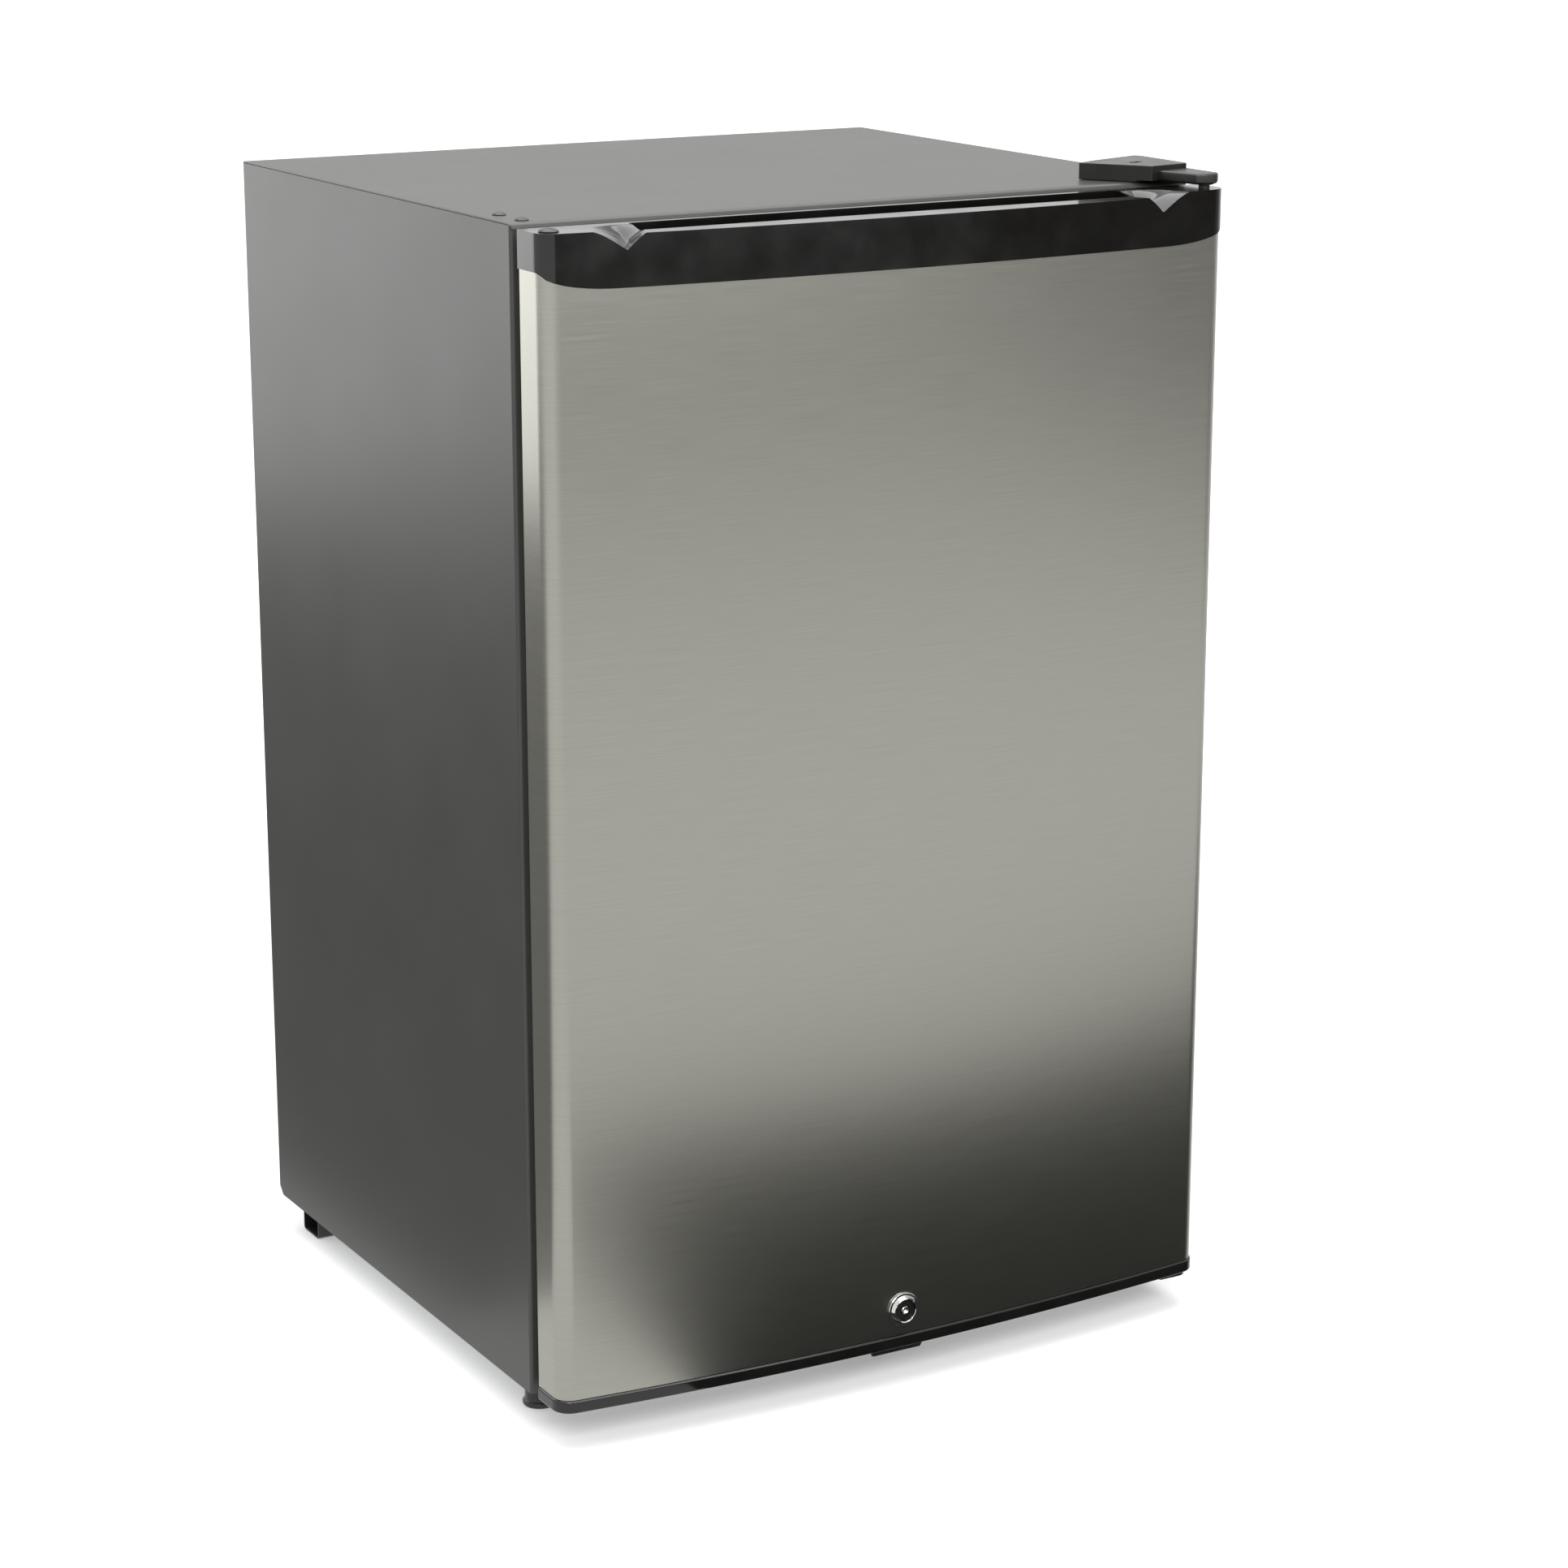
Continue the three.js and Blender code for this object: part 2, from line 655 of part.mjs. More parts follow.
const panZ = canTop + fit;
function panBlock(shrink, zs) {
  return box([compressorX - panHalfX + shrink, compressorX + panHalfX - shrink],
    [compressorY - panHalfY + shrink, compressorY + panHalfY - shrink], zs);
}
const panRoom = panBlock(panWall, [panZ + panWall, top]);
piece(machine, "drain_pan", cut(panBlock(0, [panZ, panZ + panHeight]), panRoom), satinBlack);

const drainTop = stepTop - 1;
const drainBore = drainRadius - drainWall;
const drainLow = panZ + drainPanGap;
piece(machine, "drain_tube", turned([
  [drainBore, drainLow], [drainRadius, drainLow], [drainRadius, drainTop], [drainBore, drainTop],
], [compressorX, drainY, 0], 12), whiteLiner);

// Condenser: a serpentine tube with welded wires and four tabs that stand it off the back panel.
const condenserHalf = half - condenserInset;
const condenserLow = machineTop + condenserFoot;
const condenserHigh = top - condenserHead;
const condenserPitch = (condenserHigh - condenserLow) / (condenserRuns - 1);
const bendRadius = condenserPitch / 2;
const runHalf = condenserHalf - bendRadius;
const inletX = condenserHalf - 15;
const inletZ = condenserLow - 12;
const serpentine = [[inletX, condenserY, inletZ], [inletX, condenserY, inletZ + 4]];
for (let run = 0; run < condenserRuns; run += 1) {
  const side = run % 2 ? 1 : -1;
  const z = condenserLow + run * condenserPitch;
  if (run === 0) serpentine.push([inletX - 3, condenserY, z - 3], [runHalf, condenserY, z]);
  if (run === condenserRuns - 1) serpentine.push([side * condenserHalf, condenserY, z]);
  else serpentine.push(...arc([side * runHalf, z + bendRadius], bendRadius, -90, side < 0 ? -270 : 90, 6)
    .map(([x, height]) => [x, condenserY, height]));
}
const wireY = condenserY + tubeRadius - wireSize / 4;
const wires = Array.from({ length: condenserWires }, (_, i) => {
  const x = -runHalf + (2 * runHalf * i) / (condenserWires - 1);
  return box([x - wireSize / 2, x + wireSize / 2], [wireY - wireSize / 2, wireY + wireSize / 2],
    [condenserLow - 8, condenserHigh + 8]);
});
const tabs = [-1, 1].flatMap((side) => [condenserLow, condenserHigh].map((z) => {
  const x = side * (runHalf - 30);
  return box([x - 9, x + 9], [backPanelY + fit, condenserY], [z - 1, z + 1]);
}));
piece(machine, "condenser", join(tube(serpentine, tubeRadius, 6), ...wires, ...tabs), blackSteel);

piece(machine, "discharge_tube", tube([
  [compressorX, compressorY + canR + fit, canSplit + 12],
  [compressorX, condenserY - 12, canSplit + 12],
  [compressorX + 4, condenserY - 3, canSplit + 16],
  [compressorX + 14, condenserY, canSplit + 26],
  [inletX - 5, condenserY, inletZ - 30],
  [inletX, condenserY, inletZ - 16],
  [inletX, condenserY, inletZ - fit],
], tubeRadius, 8), copper);

// Gland that the supply cord leaves through.
piece(machine, "cord_gland", turned([
  [glandBore, 0], [glandRadius, 0], [glandRadius, 4], [8, 5], [8, glandLength], [glandBore, glandLength],
],
  [glandX, cabinetDepth - glandSetback, platformTop + fit + glandRadius], 16, true), satinBlack);

// ---------------------------------------------------------------- feet

const footProfile = [
  [0, 0], [footRadius, 0], [footRadius, 2.5], [footRadius - 1.5, 4], [footRadius - 1.5, footHeight - 1],
  [footRadius - 2.5, footHeight], [footStem, footHeight], [footStem, bottom + 12], [0, bottom + 12],
];
piece(cabinet, "levelling_foot_left", turned(footProfile, [0, 0, 0], 24), satinBlack,
  [-footX, footSetback, 0]);
piece(cabinet, "levelling_foot_right", turned(footProfile, [0, 0, 0], 24), satinBlack,
  [footX, footSetback, 0]);

const rearFootY = [cabinetDepth - rearFootSetback - rearFootDepth, cabinetDepth - rearFootSetback];
const rearFootHalf = half - channelInset;
piece(cabinet, "rear_foot_channel", cut(
  box([-rearFootHalf, rearFootHalf], rearFootY, [0, bottom - fit]),
  box([-half, half], [rearFootY[0] + rearFootWall, rearFootY[1] - rearFootWall], [rearFootWall, top]),
), blackSteel);

// ---------------------------------------------------------------- hinges

const armEnd = [pinX, pinY];
const plateZ = [top + fit, top + fit + hingePlate];
const plateOutline = [
  [screwX - 26, screwRows[0] + 8],
  [screwX - 26, screwRows[1] - 4],
  [screwX + 8, screwRows[1] + 6],
  ...arc(armEnd, 6.5, 0, -180, 6),
  [screwX - 12, -2],
];
const screwHoles = screwRows.map((y) => post(screwX, y, screwRadius + fit, throughTop, 12));
piece(cabinet, "top_hinge_plate", join(
  cut(alongZ(plateOutline, plateZ), ...screwHoles),
  post(...armEnd, pinRadius, [doorTop - pinDepth, plateZ[0] + 1], 20),
), zincSteel);

// The cover: a body over the plate and a lower arm that reaches out over the pin.
const coverBody = [
  [half - 66, 34],
  [half - 36, -9],
  [half - 4, -4],
  [half - coverInset, 0],
  [half - coverInset, 52],
  [half - 6, 56],
  [half - 49, 42],
];
const armOutline = [
  [half - 34, 4], [half - 21, pinY - 6], [half - 15, pinY - 9], [half - 6, pinY - 9],
  [half - 1.5, pinY - 4], [half - coverInset, 4],
];
const bodyTop = top + coverHeight;
const armTop = bodyTop - coverArmDrop;
const armLow = top + coverArmLift;
piece(cabinet, "top_hinge_cover", cut(
  join(
    cut(alongZ(coverBody, [top + fit, bodyTop]), box([0, half], [-20, 0], [0, armLow])),
    alongZ(armOutline, [armLow, armTop]),
  ),
  alongZ(inset(coverBody, coverWall), [top - 5, bodyTop - coverWall]),
  alongZ(inset(armOutline, coverWall), [top - 5, armTop - coverWall]),
  box([half - 40, half - coverInset - coverWall], [-6, 6], [top - 5, armTop - coverWall]),
), satinBlack);

const screwProfile = [
  [0, 0], [4, 0], [4, 1.4], [screwRadius, 1.6], [screwRadius, 17], [0, 17],
].map(([r, h]) => [r, -h]);
screwRows.forEach((y, i) => {
  piece(cabinet, `top_hinge_screw_${i + 1}`, turned(screwProfile, [0, 0, 0], 12), zincSteel,
    [screwX, y, plateZ[1] + fit + 1.6]);
});

const bracketZ = [bottom - fit - hingePlate, bottom - fit];
const bracketOutline = [
  [half - 46, 2], [half - 46, 58], [half - 3, 58], [half - 3, -10],
  ...arc([pinX, pinY], 7, 0, -90, 3), [half - 26, pinY - 7], [half - 34, pinY + 4],
];
piece(cabinet, "lower_hinge_bracket", cut(
  join(
    alongZ(bracketOutline, bracketZ),
    post(pinX, pinY, pinRadius, [bracketZ[0] + 1, doorBottom + pinDepth], 20),
  ),
  post(footX, footSetback, footStem + 1, [0, top], 12),
), blackSteel);
piece(cabinet, "lower_hinge_washer", turned([
  [pinRadius + fit, 0], [8, 0], [8, 1.2], [pinRadius + fit, 1.2],
], [0, 0, 0], 20), whiteLiner, [pinX, pinY, bracketZ[1] + fit]);

// ---------------------------------------------------------------- plugs and strike

const plugProfile = [[0, -5], [screwRadius + 0.8, -5], [screwRadius + 0.8, fit], [4.6, fit], [4.6, 0.9],
  [3, 1.8], [0, 2.1]];
screwRows.forEach((y, i) => {
  piece(cabinet, `spare_hole_plug_${i + 1}`, turned(plugProfile, [0, 0, 0], 16), satinBlack,
    [-screwX, y, top]);
});

const strikeZ = [bottom - fit - tongueThickness, bottom - fit];
const strikeFront = doorCrown + strikeSetback;
const strikeOutline = [[-strikeRoot, strikeBack], [strikeRoot, strikeBack], [strikeRoot, 0],
  [strikeHalf, strikeFront], [-strikeHalf, strikeFront], [-strikeRoot, 0]];
const strikeLipOutline = [[-strikeHalf, strikeZ[1]], [strikeHalf, strikeZ[1]],
  [strikeHalf - strikeTaper, strikeZ[1] - strikeLip], [strikeTaper - strikeHalf, strikeZ[1] - strikeLip]];
piece(cabinet, "lock_strike_bracket", cut(
  join(
    alongZ(strikeOutline, strikeZ),
    alongY(strikeLipOutline, [strikeFront, strikeFront + tongueThickness]),
  ),
  box([-strikeSlot, strikeHalf], tongueSpace, [0, top]),
), blackSteel);

// ---------------------------------------------------------------- door

// Section seen from above: flat back and sides, round corners and a front bowed to the crown.
const cornerX = doorHalf - doorCorner;
const cornerY = -(doorGap + doorSide);
const crownStep = doorCrown - cornerY;
const bowRadius = (cornerX ** 2 + crownStep ** 2 - doorCorner ** 2) / (-2 * (crownStep + doorCorner));
const bowCentre = doorCrown + bowRadius;
const bowAngle = THREE.MathUtils.radToDeg(Math.asin(cornerX / (bowRadius - doorCorner)));

function doorOutline(grow, back) {
  return [
    [doorHalf + grow, back],
    ...arc([cornerX, cornerY], doorCorner + grow, 0, bowAngle - 90, 5),
    ...arc([0, bowCentre], bowRadius + grow, bowAngle - 90, -90 - bowAngle, 16).slice(1, -1),
    ...arc([-cornerX, cornerY], doorCorner + grow, -90 - bowAngle, -180, 5),
    [-doorHalf - grow, back],
  ];
}

// Everything above, or below, the cap's lower edge: level on the sides, it curves down to the front.
function capEdge(level) {
  const reach = doorHalf + 5;
  const rise = capLowSide - capLowFront;
  const quarter = (side) => Array.from({ length: 8 }, (_, i) => {
    const along = i / 7;
    const lift = rise * (1 - Math.sqrt(1 - along ** 2));
    return [side * (doorHalf - capCurve * (1 - along)), capLowFront + lift];
  });
  const edge = [[-reach, capLowSide], ...quarter(-1).reverse(), ...quarter(1), [reach, capLowSide]];
  const shifted = edge.map(([x, z]) => [x, z + level]);
  return { above: [...shifted, [reach, top + 20], [-reach, top + 20]],
    below: [...shifted, [reach, capLowFront - 20], [-reach, capLowFront - 20]] };
}
const acrossDoor = [doorCrown - 10, 0];
const aboveCapEdge = alongY(capEdge(-fit).above, acrossDoor);
const belowCapEdge = alongY(capEdge(0).below, acrossDoor);
const lockHole = turned(cylinderProfile(9.8, doorCrown - 5, tongueY), [0, 0, lockZ], 20, true);

const skinZ = [trimTop + fit, doorTop - fit];
piece(door, "door_skin", cut(
  alongZ(doorOutline(0, doorBack), skinZ),
  alongZ(doorOutline(-sheet, doorBack - sheet), [0, top]),
  box([-doorHalf + doorReturn, doorHalf - doorReturn], [doorBack - 5, 0], [0, top]),
  aboveCapEdge,
  lockHole,
), stainless);

// Space that the lock's tongue sweeps, open downwards.
const sweep = box([-tongueWidth, tongueLength + tongueWidth / 2], tongueSpace, [0, lockZ + tongueWidth]);
const lowerPinHole = post(pinX, pinY, pinRadius + fit, [0, doorBottom + pinDepth + 1], 20);
piece(door, "door_foam", cut(
  alongZ(doorOutline(-sheet - fit, doorBack), [doorBottom + trimShell + fit, doorTop - fit]),
  cut(alongZ(doorOutline(5, 0), [0, trimTop + fit]),
    alongZ(doorOutline(-trimShell - fit, doorBack - trimShell - fit), [0, trimTop + fit])),
  ...[-1, 1].map((side) => box([side * (doorHalf - doorReturn / 2) - doorReturn / 2 - fit,
    side * (doorHalf - doorReturn / 2) + doorReturn / 2 + fit], [doorBack - sheet - fit, 0], [0, top])),
  aboveCapEdge,
  lockHole,
  sweep,
  lowerPinHole,
), foamYellow);

piece(door, "door_bottom_trim", cut(
  alongZ(doorOutline(capProud, doorBack), [doorBottom, trimTop]),
  alongZ(doorOutline(-trimShell, doorBack - trimShell), [doorBottom + trimShell, top]),
  box([-tongueWidth, tongueLength], tongueSpace, [0, top]),
  lowerPinHole,
), glossBlack);

function scoop(side) {
  const ball = new THREE.SphereGeometry(1, 20, 14);
  ball.scale(scoopRadius, scoopRadius, scoopDepth + scoopRise);
  return solid(ball.translate(side * scoopReach, doorCrown + scoopSetback, doorTop + scoopRise));
}
piece(door, "door_top_cap", cut(
  alongZ(doorOutline(capProud, doorBack), [capLowFront, doorTop]),
  belowCapEdge,
  box([-channelHalf, channelHalf], [-channelFront, -channelBack], [doorTop - channelDepth, top]),
  box([-scoopReach, scoopReach], [doorCrown - 5, -channelFront + 1], [doorTop - lipDrop, top]),
  scoop(-1),
  scoop(1),
  post(pinX, pinY, pinRadius + fit, [doorTop - pinDepth - 1, top], 20),
  post(-pinX, pinY, pinRadius + fit, [doorTop - pinDepth - 1, top], 20),
), glossBlack);
piece(door, "cap_hole_plug", turned([
  [0, -6], [pinRadius, -6], [pinRadius, fit], [6.5, fit], [6.5, 1], [4.5, 2.1], [0, 2.5],
], [0, 0, 0], 20), satinBlack, [-pinX, pinY, doorTop]);

const gasketZ = [bottom + gasketInset, top - flangeWidth + linerSkin + gasketWidth];
function frameRing(outerHalf, [z0, z1], width, y) {
  return cut(box([-outerHalf, outerHalf], y, [z0, z1]),
    box([-outerHalf + width, outerHalf - width], [y[0] - 1, y[1] + 1], [z0 + width, z1 - width]));
}
piece(door, "door_gasket", frameRing(half - gasketInset, gasketZ, gasketWidth, [gasketBack, -fit]),
  gasketBlack);

// Liner of the door: a flat sheet with a hollow ridge ring and ledges for the bins.
const ridgeZ = [roomFloor + ridgeBottomGap, roomTop - ridgeTopGap];
const ridgeRing = frameRing(ridgeHalf, ridgeZ, ridgeWidth, [doorLinerY, ridgeReach]);
const ridgeHollow = frameRing(ridgeHalf - linerSkin, [ridgeZ[0] + linerSkin, ridgeZ[1] - linerSkin],
  ridgeWidth - 2 * linerSkin, [doorBack - 5, ridgeReach - linerSkin]);
const bins = ["lower", "middle", "upper"].map((place, i) => (
  { name: `door_bin_${place}`, z: stepTop + binLevels[i] * roomRise, height: binHeights[i] * roomRise }
));
const binHalf = ridgeHalf - ridgeWidth - binGap;
const binBack = gasketBack;
const ledges = bins.flatMap(({ z }) => [-1, 1].map((side) => {
  const inner = side * (ridgeHalf - ridgeWidth - binLedge);
  const outer = side * (ridgeHalf - ridgeWidth + 1);
  const reach = [Math.min(inner, outer), Math.max(inner, outer)];
  return box(reach, [0, ridgeReach - linerSkin], [z - binLedge, z - fit]);
}));
piece(door, "door_liner", join(
  cut(join(box([-doorLinerHalf, doorLinerHalf], [doorLinerY, doorLinerY + linerSkin],
    [trimTop + 1, doorTop - 10]), ridgeRing), ridgeHollow),
  ...ledges,
), whiteLiner);

function binTray(height) {
  const front = binBack + binDepth;
  const outer = [[binBack, 0], [front - binLean, 0], [front, height], [binBack, height]];
  const inner = [[binBack + binWall, binWall], [front - binLean - binWall, binWall],
    [front - binWall, height + 1], [binBack + binWall, height + 1]];
  return cut(alongX(outer, [-binHalf, binHalf]), alongX(inner, [-binHalf + binWall, binHalf - binWall]));
}
for (const { name, z, height } of bins) {
  piece(door, name, binTray(height), clearPlastic, [0, 0, z]);
}

// ---------------------------------------------------------------- lock

// Heights along these profiles are Y, because the lock points forwards.
const face = doorCrown - fit;
const ringFront = doorCrown - fit - lockRingProud;
piece(lock, "lock_ring", turned([
  [lockRing, face], [lockRing, face - 1], [lockRing - 1.2, face - 1.3], [lockBarrel + 1, ringFront],
  [lockBarrel + fit, ringFront], [lockBarrel + fit, doorCrown + 15], [9.4, doorCrown + 15], [9.4, face],
], [0, 0, 0], 28, true), chrome);

const tail = 3.5;
piece(lock, "lock_barrel", turned([
  [0, face - 1.6], [1.9, face - 1.6], [1.9, ringFront + 0.6], [3, ringFront + 0.6], [3, face - 2.2],
  [lockBarrel, face - 2.2], [lockBarrel, tongueY - fit], [tail, tongueY - fit],
  [tail, tongueY + tongueThickness + 1], [0, tongueY + tongueThickness + 1],
], [0, 0, 0], 24, true), satinBlack);

const tongueHalf = tongueWidth / 2;
piece(lock, "lock_tongue", cut(
  alongY([
    ...arc([0, 0], tongueHalf + 1, 90, 270, 8),
    [tongueLength - 2, -tongueHalf], [tongueLength, -tongueHalf + 2], [tongueLength, tongueHalf - 2],
    [tongueLength - 2, tongueHalf],
  ], [tongueY, tongueY + tongueThickness]),
  turned(cylinderProfile(tail + fit, tongueY - 5, tongueY + 10), [0, 0, 0], 16, true),
), zincSteel);

// ---------------------------------------------------------------- the object's own origin

// Bottom centre of its box: the lock's ring is the foremost point, the condenser's wires the last.
const rearmost = wireY + wireSize / 2;
fridge.position.y = -(ringFront + rearmost) / 2;

export default fridge;
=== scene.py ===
"""Looks of a compact refrigerator.

It has a painted cabinet, a brushed stainless door, a black handle cap, a lock and a cooling machine.
"""

import json
import math

import bmesh
import bpy
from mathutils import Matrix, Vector

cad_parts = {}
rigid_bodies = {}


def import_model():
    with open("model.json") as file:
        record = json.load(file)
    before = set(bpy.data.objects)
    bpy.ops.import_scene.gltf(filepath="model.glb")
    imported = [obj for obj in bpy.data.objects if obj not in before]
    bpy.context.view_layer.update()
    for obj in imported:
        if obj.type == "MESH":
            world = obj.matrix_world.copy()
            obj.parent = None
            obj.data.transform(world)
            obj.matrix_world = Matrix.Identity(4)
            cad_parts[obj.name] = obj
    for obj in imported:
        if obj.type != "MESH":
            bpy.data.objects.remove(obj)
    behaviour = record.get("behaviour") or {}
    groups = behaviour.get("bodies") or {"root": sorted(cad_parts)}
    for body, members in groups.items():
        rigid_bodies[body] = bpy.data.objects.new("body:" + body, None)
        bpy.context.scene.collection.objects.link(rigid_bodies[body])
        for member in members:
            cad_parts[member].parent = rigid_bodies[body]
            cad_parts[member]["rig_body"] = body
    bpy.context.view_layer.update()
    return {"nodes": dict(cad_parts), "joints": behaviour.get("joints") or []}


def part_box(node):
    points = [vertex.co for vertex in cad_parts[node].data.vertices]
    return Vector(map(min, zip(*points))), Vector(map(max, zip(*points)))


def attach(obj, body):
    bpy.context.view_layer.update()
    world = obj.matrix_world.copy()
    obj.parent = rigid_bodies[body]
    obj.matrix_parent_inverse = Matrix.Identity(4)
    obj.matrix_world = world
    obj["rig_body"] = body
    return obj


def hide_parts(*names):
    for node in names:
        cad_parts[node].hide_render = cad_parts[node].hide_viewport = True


bl_info = {
    "name": "Compact refrigerator",
    "version": (1, 0, 0),
    "blender": (4, 5, 0),
    "location": "View3D > Sidebar > Refrigerator",
    "description": "Builds the refrigerator's visible pieces, materials and studio",
    "category": "Object",
}

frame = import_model()
MM = 0.001
FIT = 0.3 * MM

# ---------------------------------------------------------------- places taken from the mechanical model

SIDE_LOW, SIDE_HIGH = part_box("side_panel_left")
TOP_LOW, TOP_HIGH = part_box("top_panel")
SKIN_LOW, SKIN_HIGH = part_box("door_skin")
CAP_LOW, CAP_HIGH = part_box("door_top_cap")
TRIM_LOW, TRIM_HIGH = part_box("door_bottom_trim")
RING_LOW, RING_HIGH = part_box("lock_ring")
HALF = SIDE_HIGH.x if SIDE_HIGH.x > 0 else -SIDE_LOW.x
FACE_Y = SIDE_LOW.y  # the cabinet's front plane
REAR_Y = SIDE_HIGH.y
CABINET_TOP = TOP_HIGH.z
CABINET_BOTTOM = SIDE_LOW.z
DOOR_BACK = SKIN_HIGH.y
DOOR_CROWN = SKIN_LOW.y


def hinge_axis():
    """X and Y of the door's hinge."""
    joint = next(j for j in frame["joints"] if j["name"] == "door_swing")
    return joint["pos_m"][0], joint["pos_m"][1]


PIN_X, PIN_Y = hinge_axis()
FINISH = {}  # each slot's material


def sizes():
    """Small sizes set on the scene."""
    return bpy.context.scene.fridge_sizes


def colours():
    """Colours set on the scene."""
    return bpy.context.scene.fridge_colours


# ---------------------------------------------------------------- modelling helpers


def only(piece):
    """Leaves edit mode and selects one piece and nothing else."""
    if bpy.context.object and bpy.context.object.mode != "OBJECT":
        bpy.ops.object.mode_set(mode="OBJECT")
    bpy.ops.object.select_all(action="DESELECT")
    if piece:
        piece.select_set(True)
        bpy.context.view_layer.objects.active = piece
    return piece


def settled(name):
    """Names the new primitive and moves its place into its mesh."""
    piece = bpy.context.object
    bpy.ops.object.transform_apply(location=True, rotation=True, scale=True)
    piece.name = piece.data.name = name
    return piece


def block(name, low, high):
    """A box between two corners, to be shaped further."""
    only(None)
    low, high = Vector(low), Vector(high)
    bpy.ops.mesh.primitive_cube_add(size=1, location=(low + high) / 2)
    bpy.context.object.scale = high - low
    return settled(name)


def rod(name, centre, radius, length, axis="Z", sides=48):
    """A cylinder round an axis, to be shaped further."""
    only(None)
    turn = {"Z": (0, 0, 0), "Y": (math.pi / 2, 0, 0), "X": (0, math.pi / 2, 0)}[axis]
    bpy.ops.mesh.primitive_cylinder_add(
        vertices=sides, radius=radius, depth=length, location=centre, rotation=turn
    )
    return settled(name)


def chosen(piece, faces=None, edges=None, verts=None):
    """In edit mode, selects only what passes the test on a face's, an edge's or a corner's place."""
    mode = "FACE" if faces else "EDGE" if edges else "VERT"
    bpy.ops.mesh.select_mode(type=mode)
    bpy.ops.mesh.select_all(action="DESELECT")
    mesh = bmesh.from_edit_mesh(piece.data)
    found = 0
    for test, parts in ((faces, mesh.faces), (edges, mesh.edges), (verts, mesh.verts)):
        if test:
            for part in parts:
                if test(part):
                    part.select_set(True)
                    found += 1
    bmesh.update_edit_mesh(piece.data)
    if not found:
        raise RuntimeError(f"nothing was found to shape on {piece.name}")


def shaping(piece):
    """Enters edit mode with the whole piece selected."""
    only(piece)
    bpy.ops.object.mode_set(mode="EDIT")
    bpy.ops.mesh.select_mode(type="VERT")
    bpy.ops.mesh.select_all(action="SELECT")


def line(name, points, closed=True):
    """Draws an outline by extruding one point along it. A closed one is filled with a face."""
    only(None)
    points = [Vector(p) for p in points]
    bpy.ops.mesh.primitive_plane_add(size=MM, location=points[0])
    piece = settled(name)
    shaping(piece)
    bpy.ops.mesh.merge(type="CENTER")
    for before, after in zip(points, points[1:]):
        bpy.ops.mesh.extrude_region_move(TRANSFORM_OT_translate={"value": after - before})
    bpy.ops.mesh.select_all(action="SELECT")
    if closed:
        bpy.ops.mesh.edge_face_add()
    return piece


def outlined(name, points, push):
    """A solid whose drawn outline is extruded."""
    piece = line(name, points)
    bpy.ops.mesh.extrude_region_move(TRANSFORM_OT_translate={"value": push})
    bpy.ops.mesh.select_all(action="SELECT")
    bpy.ops.mesh.normals_make_consistent(inside=False)
    return only(piece)


def turned(name, profile, centre, axis="Z", steps=64):
    """A lathe piece: [radius, height] points drawn beside the axis and spun all round it."""
    centre = Vector(centre)
    out, up = {"Z": ((1, 0, 0), (0, 0, 1)), "Y": ((1, 0, 0), (0, 1, 0))}[axis]
    points = [centre + Vector(out) * r + Vector(up) * h for r, h in profile]
    piece = line(name, points, closed=False)
    bpy.ops.mesh.spin(steps=steps, angle=2 * math.pi, center=centre, axis=up)
    bpy.ops.mesh.select_all(action="SELECT")
    bpy.ops.mesh.remove_doubles(threshold=0.01 * MM)
    bpy.ops.mesh.normals_make_consistent(inside=False)
    return only(piece)


def tube(name, points, radius, sides=6, closed=False):
    """A round tube along points, from a curve with a round section."""
    only(None)
    curve = bpy.data.curves.new(name, "CURVE")
    curve.dimensions = "3D"
    curve.bevel_depth = radius
    curve.bevel_resolution = sides
    curve.use_fill_caps = True
    spline = curve.splines.new("POLY")
    spline.points.add(len(points) - 1)
    for point, place in zip(spline.points, points):
        point.co = (*place, 1)
    spline.use_cyclic_u = closed
    piece = bpy.data.objects.new(name, curve)
    bpy.context.scene.collection.objects.link(piece)
    only(piece)
    bpy.ops.object.convert(target="MESH")
    return only(bpy.context.object)


def applied(piece, kind, **settings):
    """Adds a modifier with its settings and applies it."""
    only(piece)
    modifier = piece.modifiers.new(kind.title(), kind)
    for key, value in settings.items():
        setattr(modifier, key, value)
    bpy.ops.object.modifier_apply(modifier=modifier.name)
    return piece


def eased(piece, width, angle=40, segments=3):
    """Rounds the edges that are sharper than an angle."""
    return applied(
        piece,
        "BEVEL",
        width=width,
        segments=segments,
        limit_method="ANGLE",
        angle_limit=math.radians(angle),
        use_clamp_overlap=True,
        miter_outer="MITER_ARC",
    )


def without(piece, *tools):
    """Cuts tools out of a piece and removes them."""
    for tool in tools:
        applied(piece, "BOOLEAN", operation="DIFFERENCE", object=tool, solver="EXACT")
        bpy.data.objects.remove(tool)
    return piece


def fused(piece, *others):
    """Joins pieces into one closed skin."""
    for other in others:
        applied(piece, "BOOLEAN", operation="UNION", object=other, solver="EXACT")
        bpy.data.objects.remove(other)
    return piece


def gathered(piece, *others):
    """Puts several closed shells into one piece."""
    only(piece)
    for other in others:
        other.select_set(True)
    bpy.ops.object.join()
    return only(piece)


def copied(piece, name, shift):
    """A copy with its own mesh, moved by shift."""
    twin = piece.copy()
    twin.data = piece.data.copy()
    twin.name = twin.data.name = name
    bpy.context.scene.collection.objects.link(twin)
    shaping(twin)
    bpy.ops.transform.translate(value=shift)
    return only(twin)


def mirrored(piece, name):
    """A copy on the other side of the middle plane."""
    twin = copied(piece, name, (0, 0, 0))
    shaping(twin)
    bpy.ops.transform.resize(value=(-1, 1, 1), center_override=(0, 0, 0))
    bpy.ops.mesh.normals_make_consistent(inside=False)
    return only(twin)


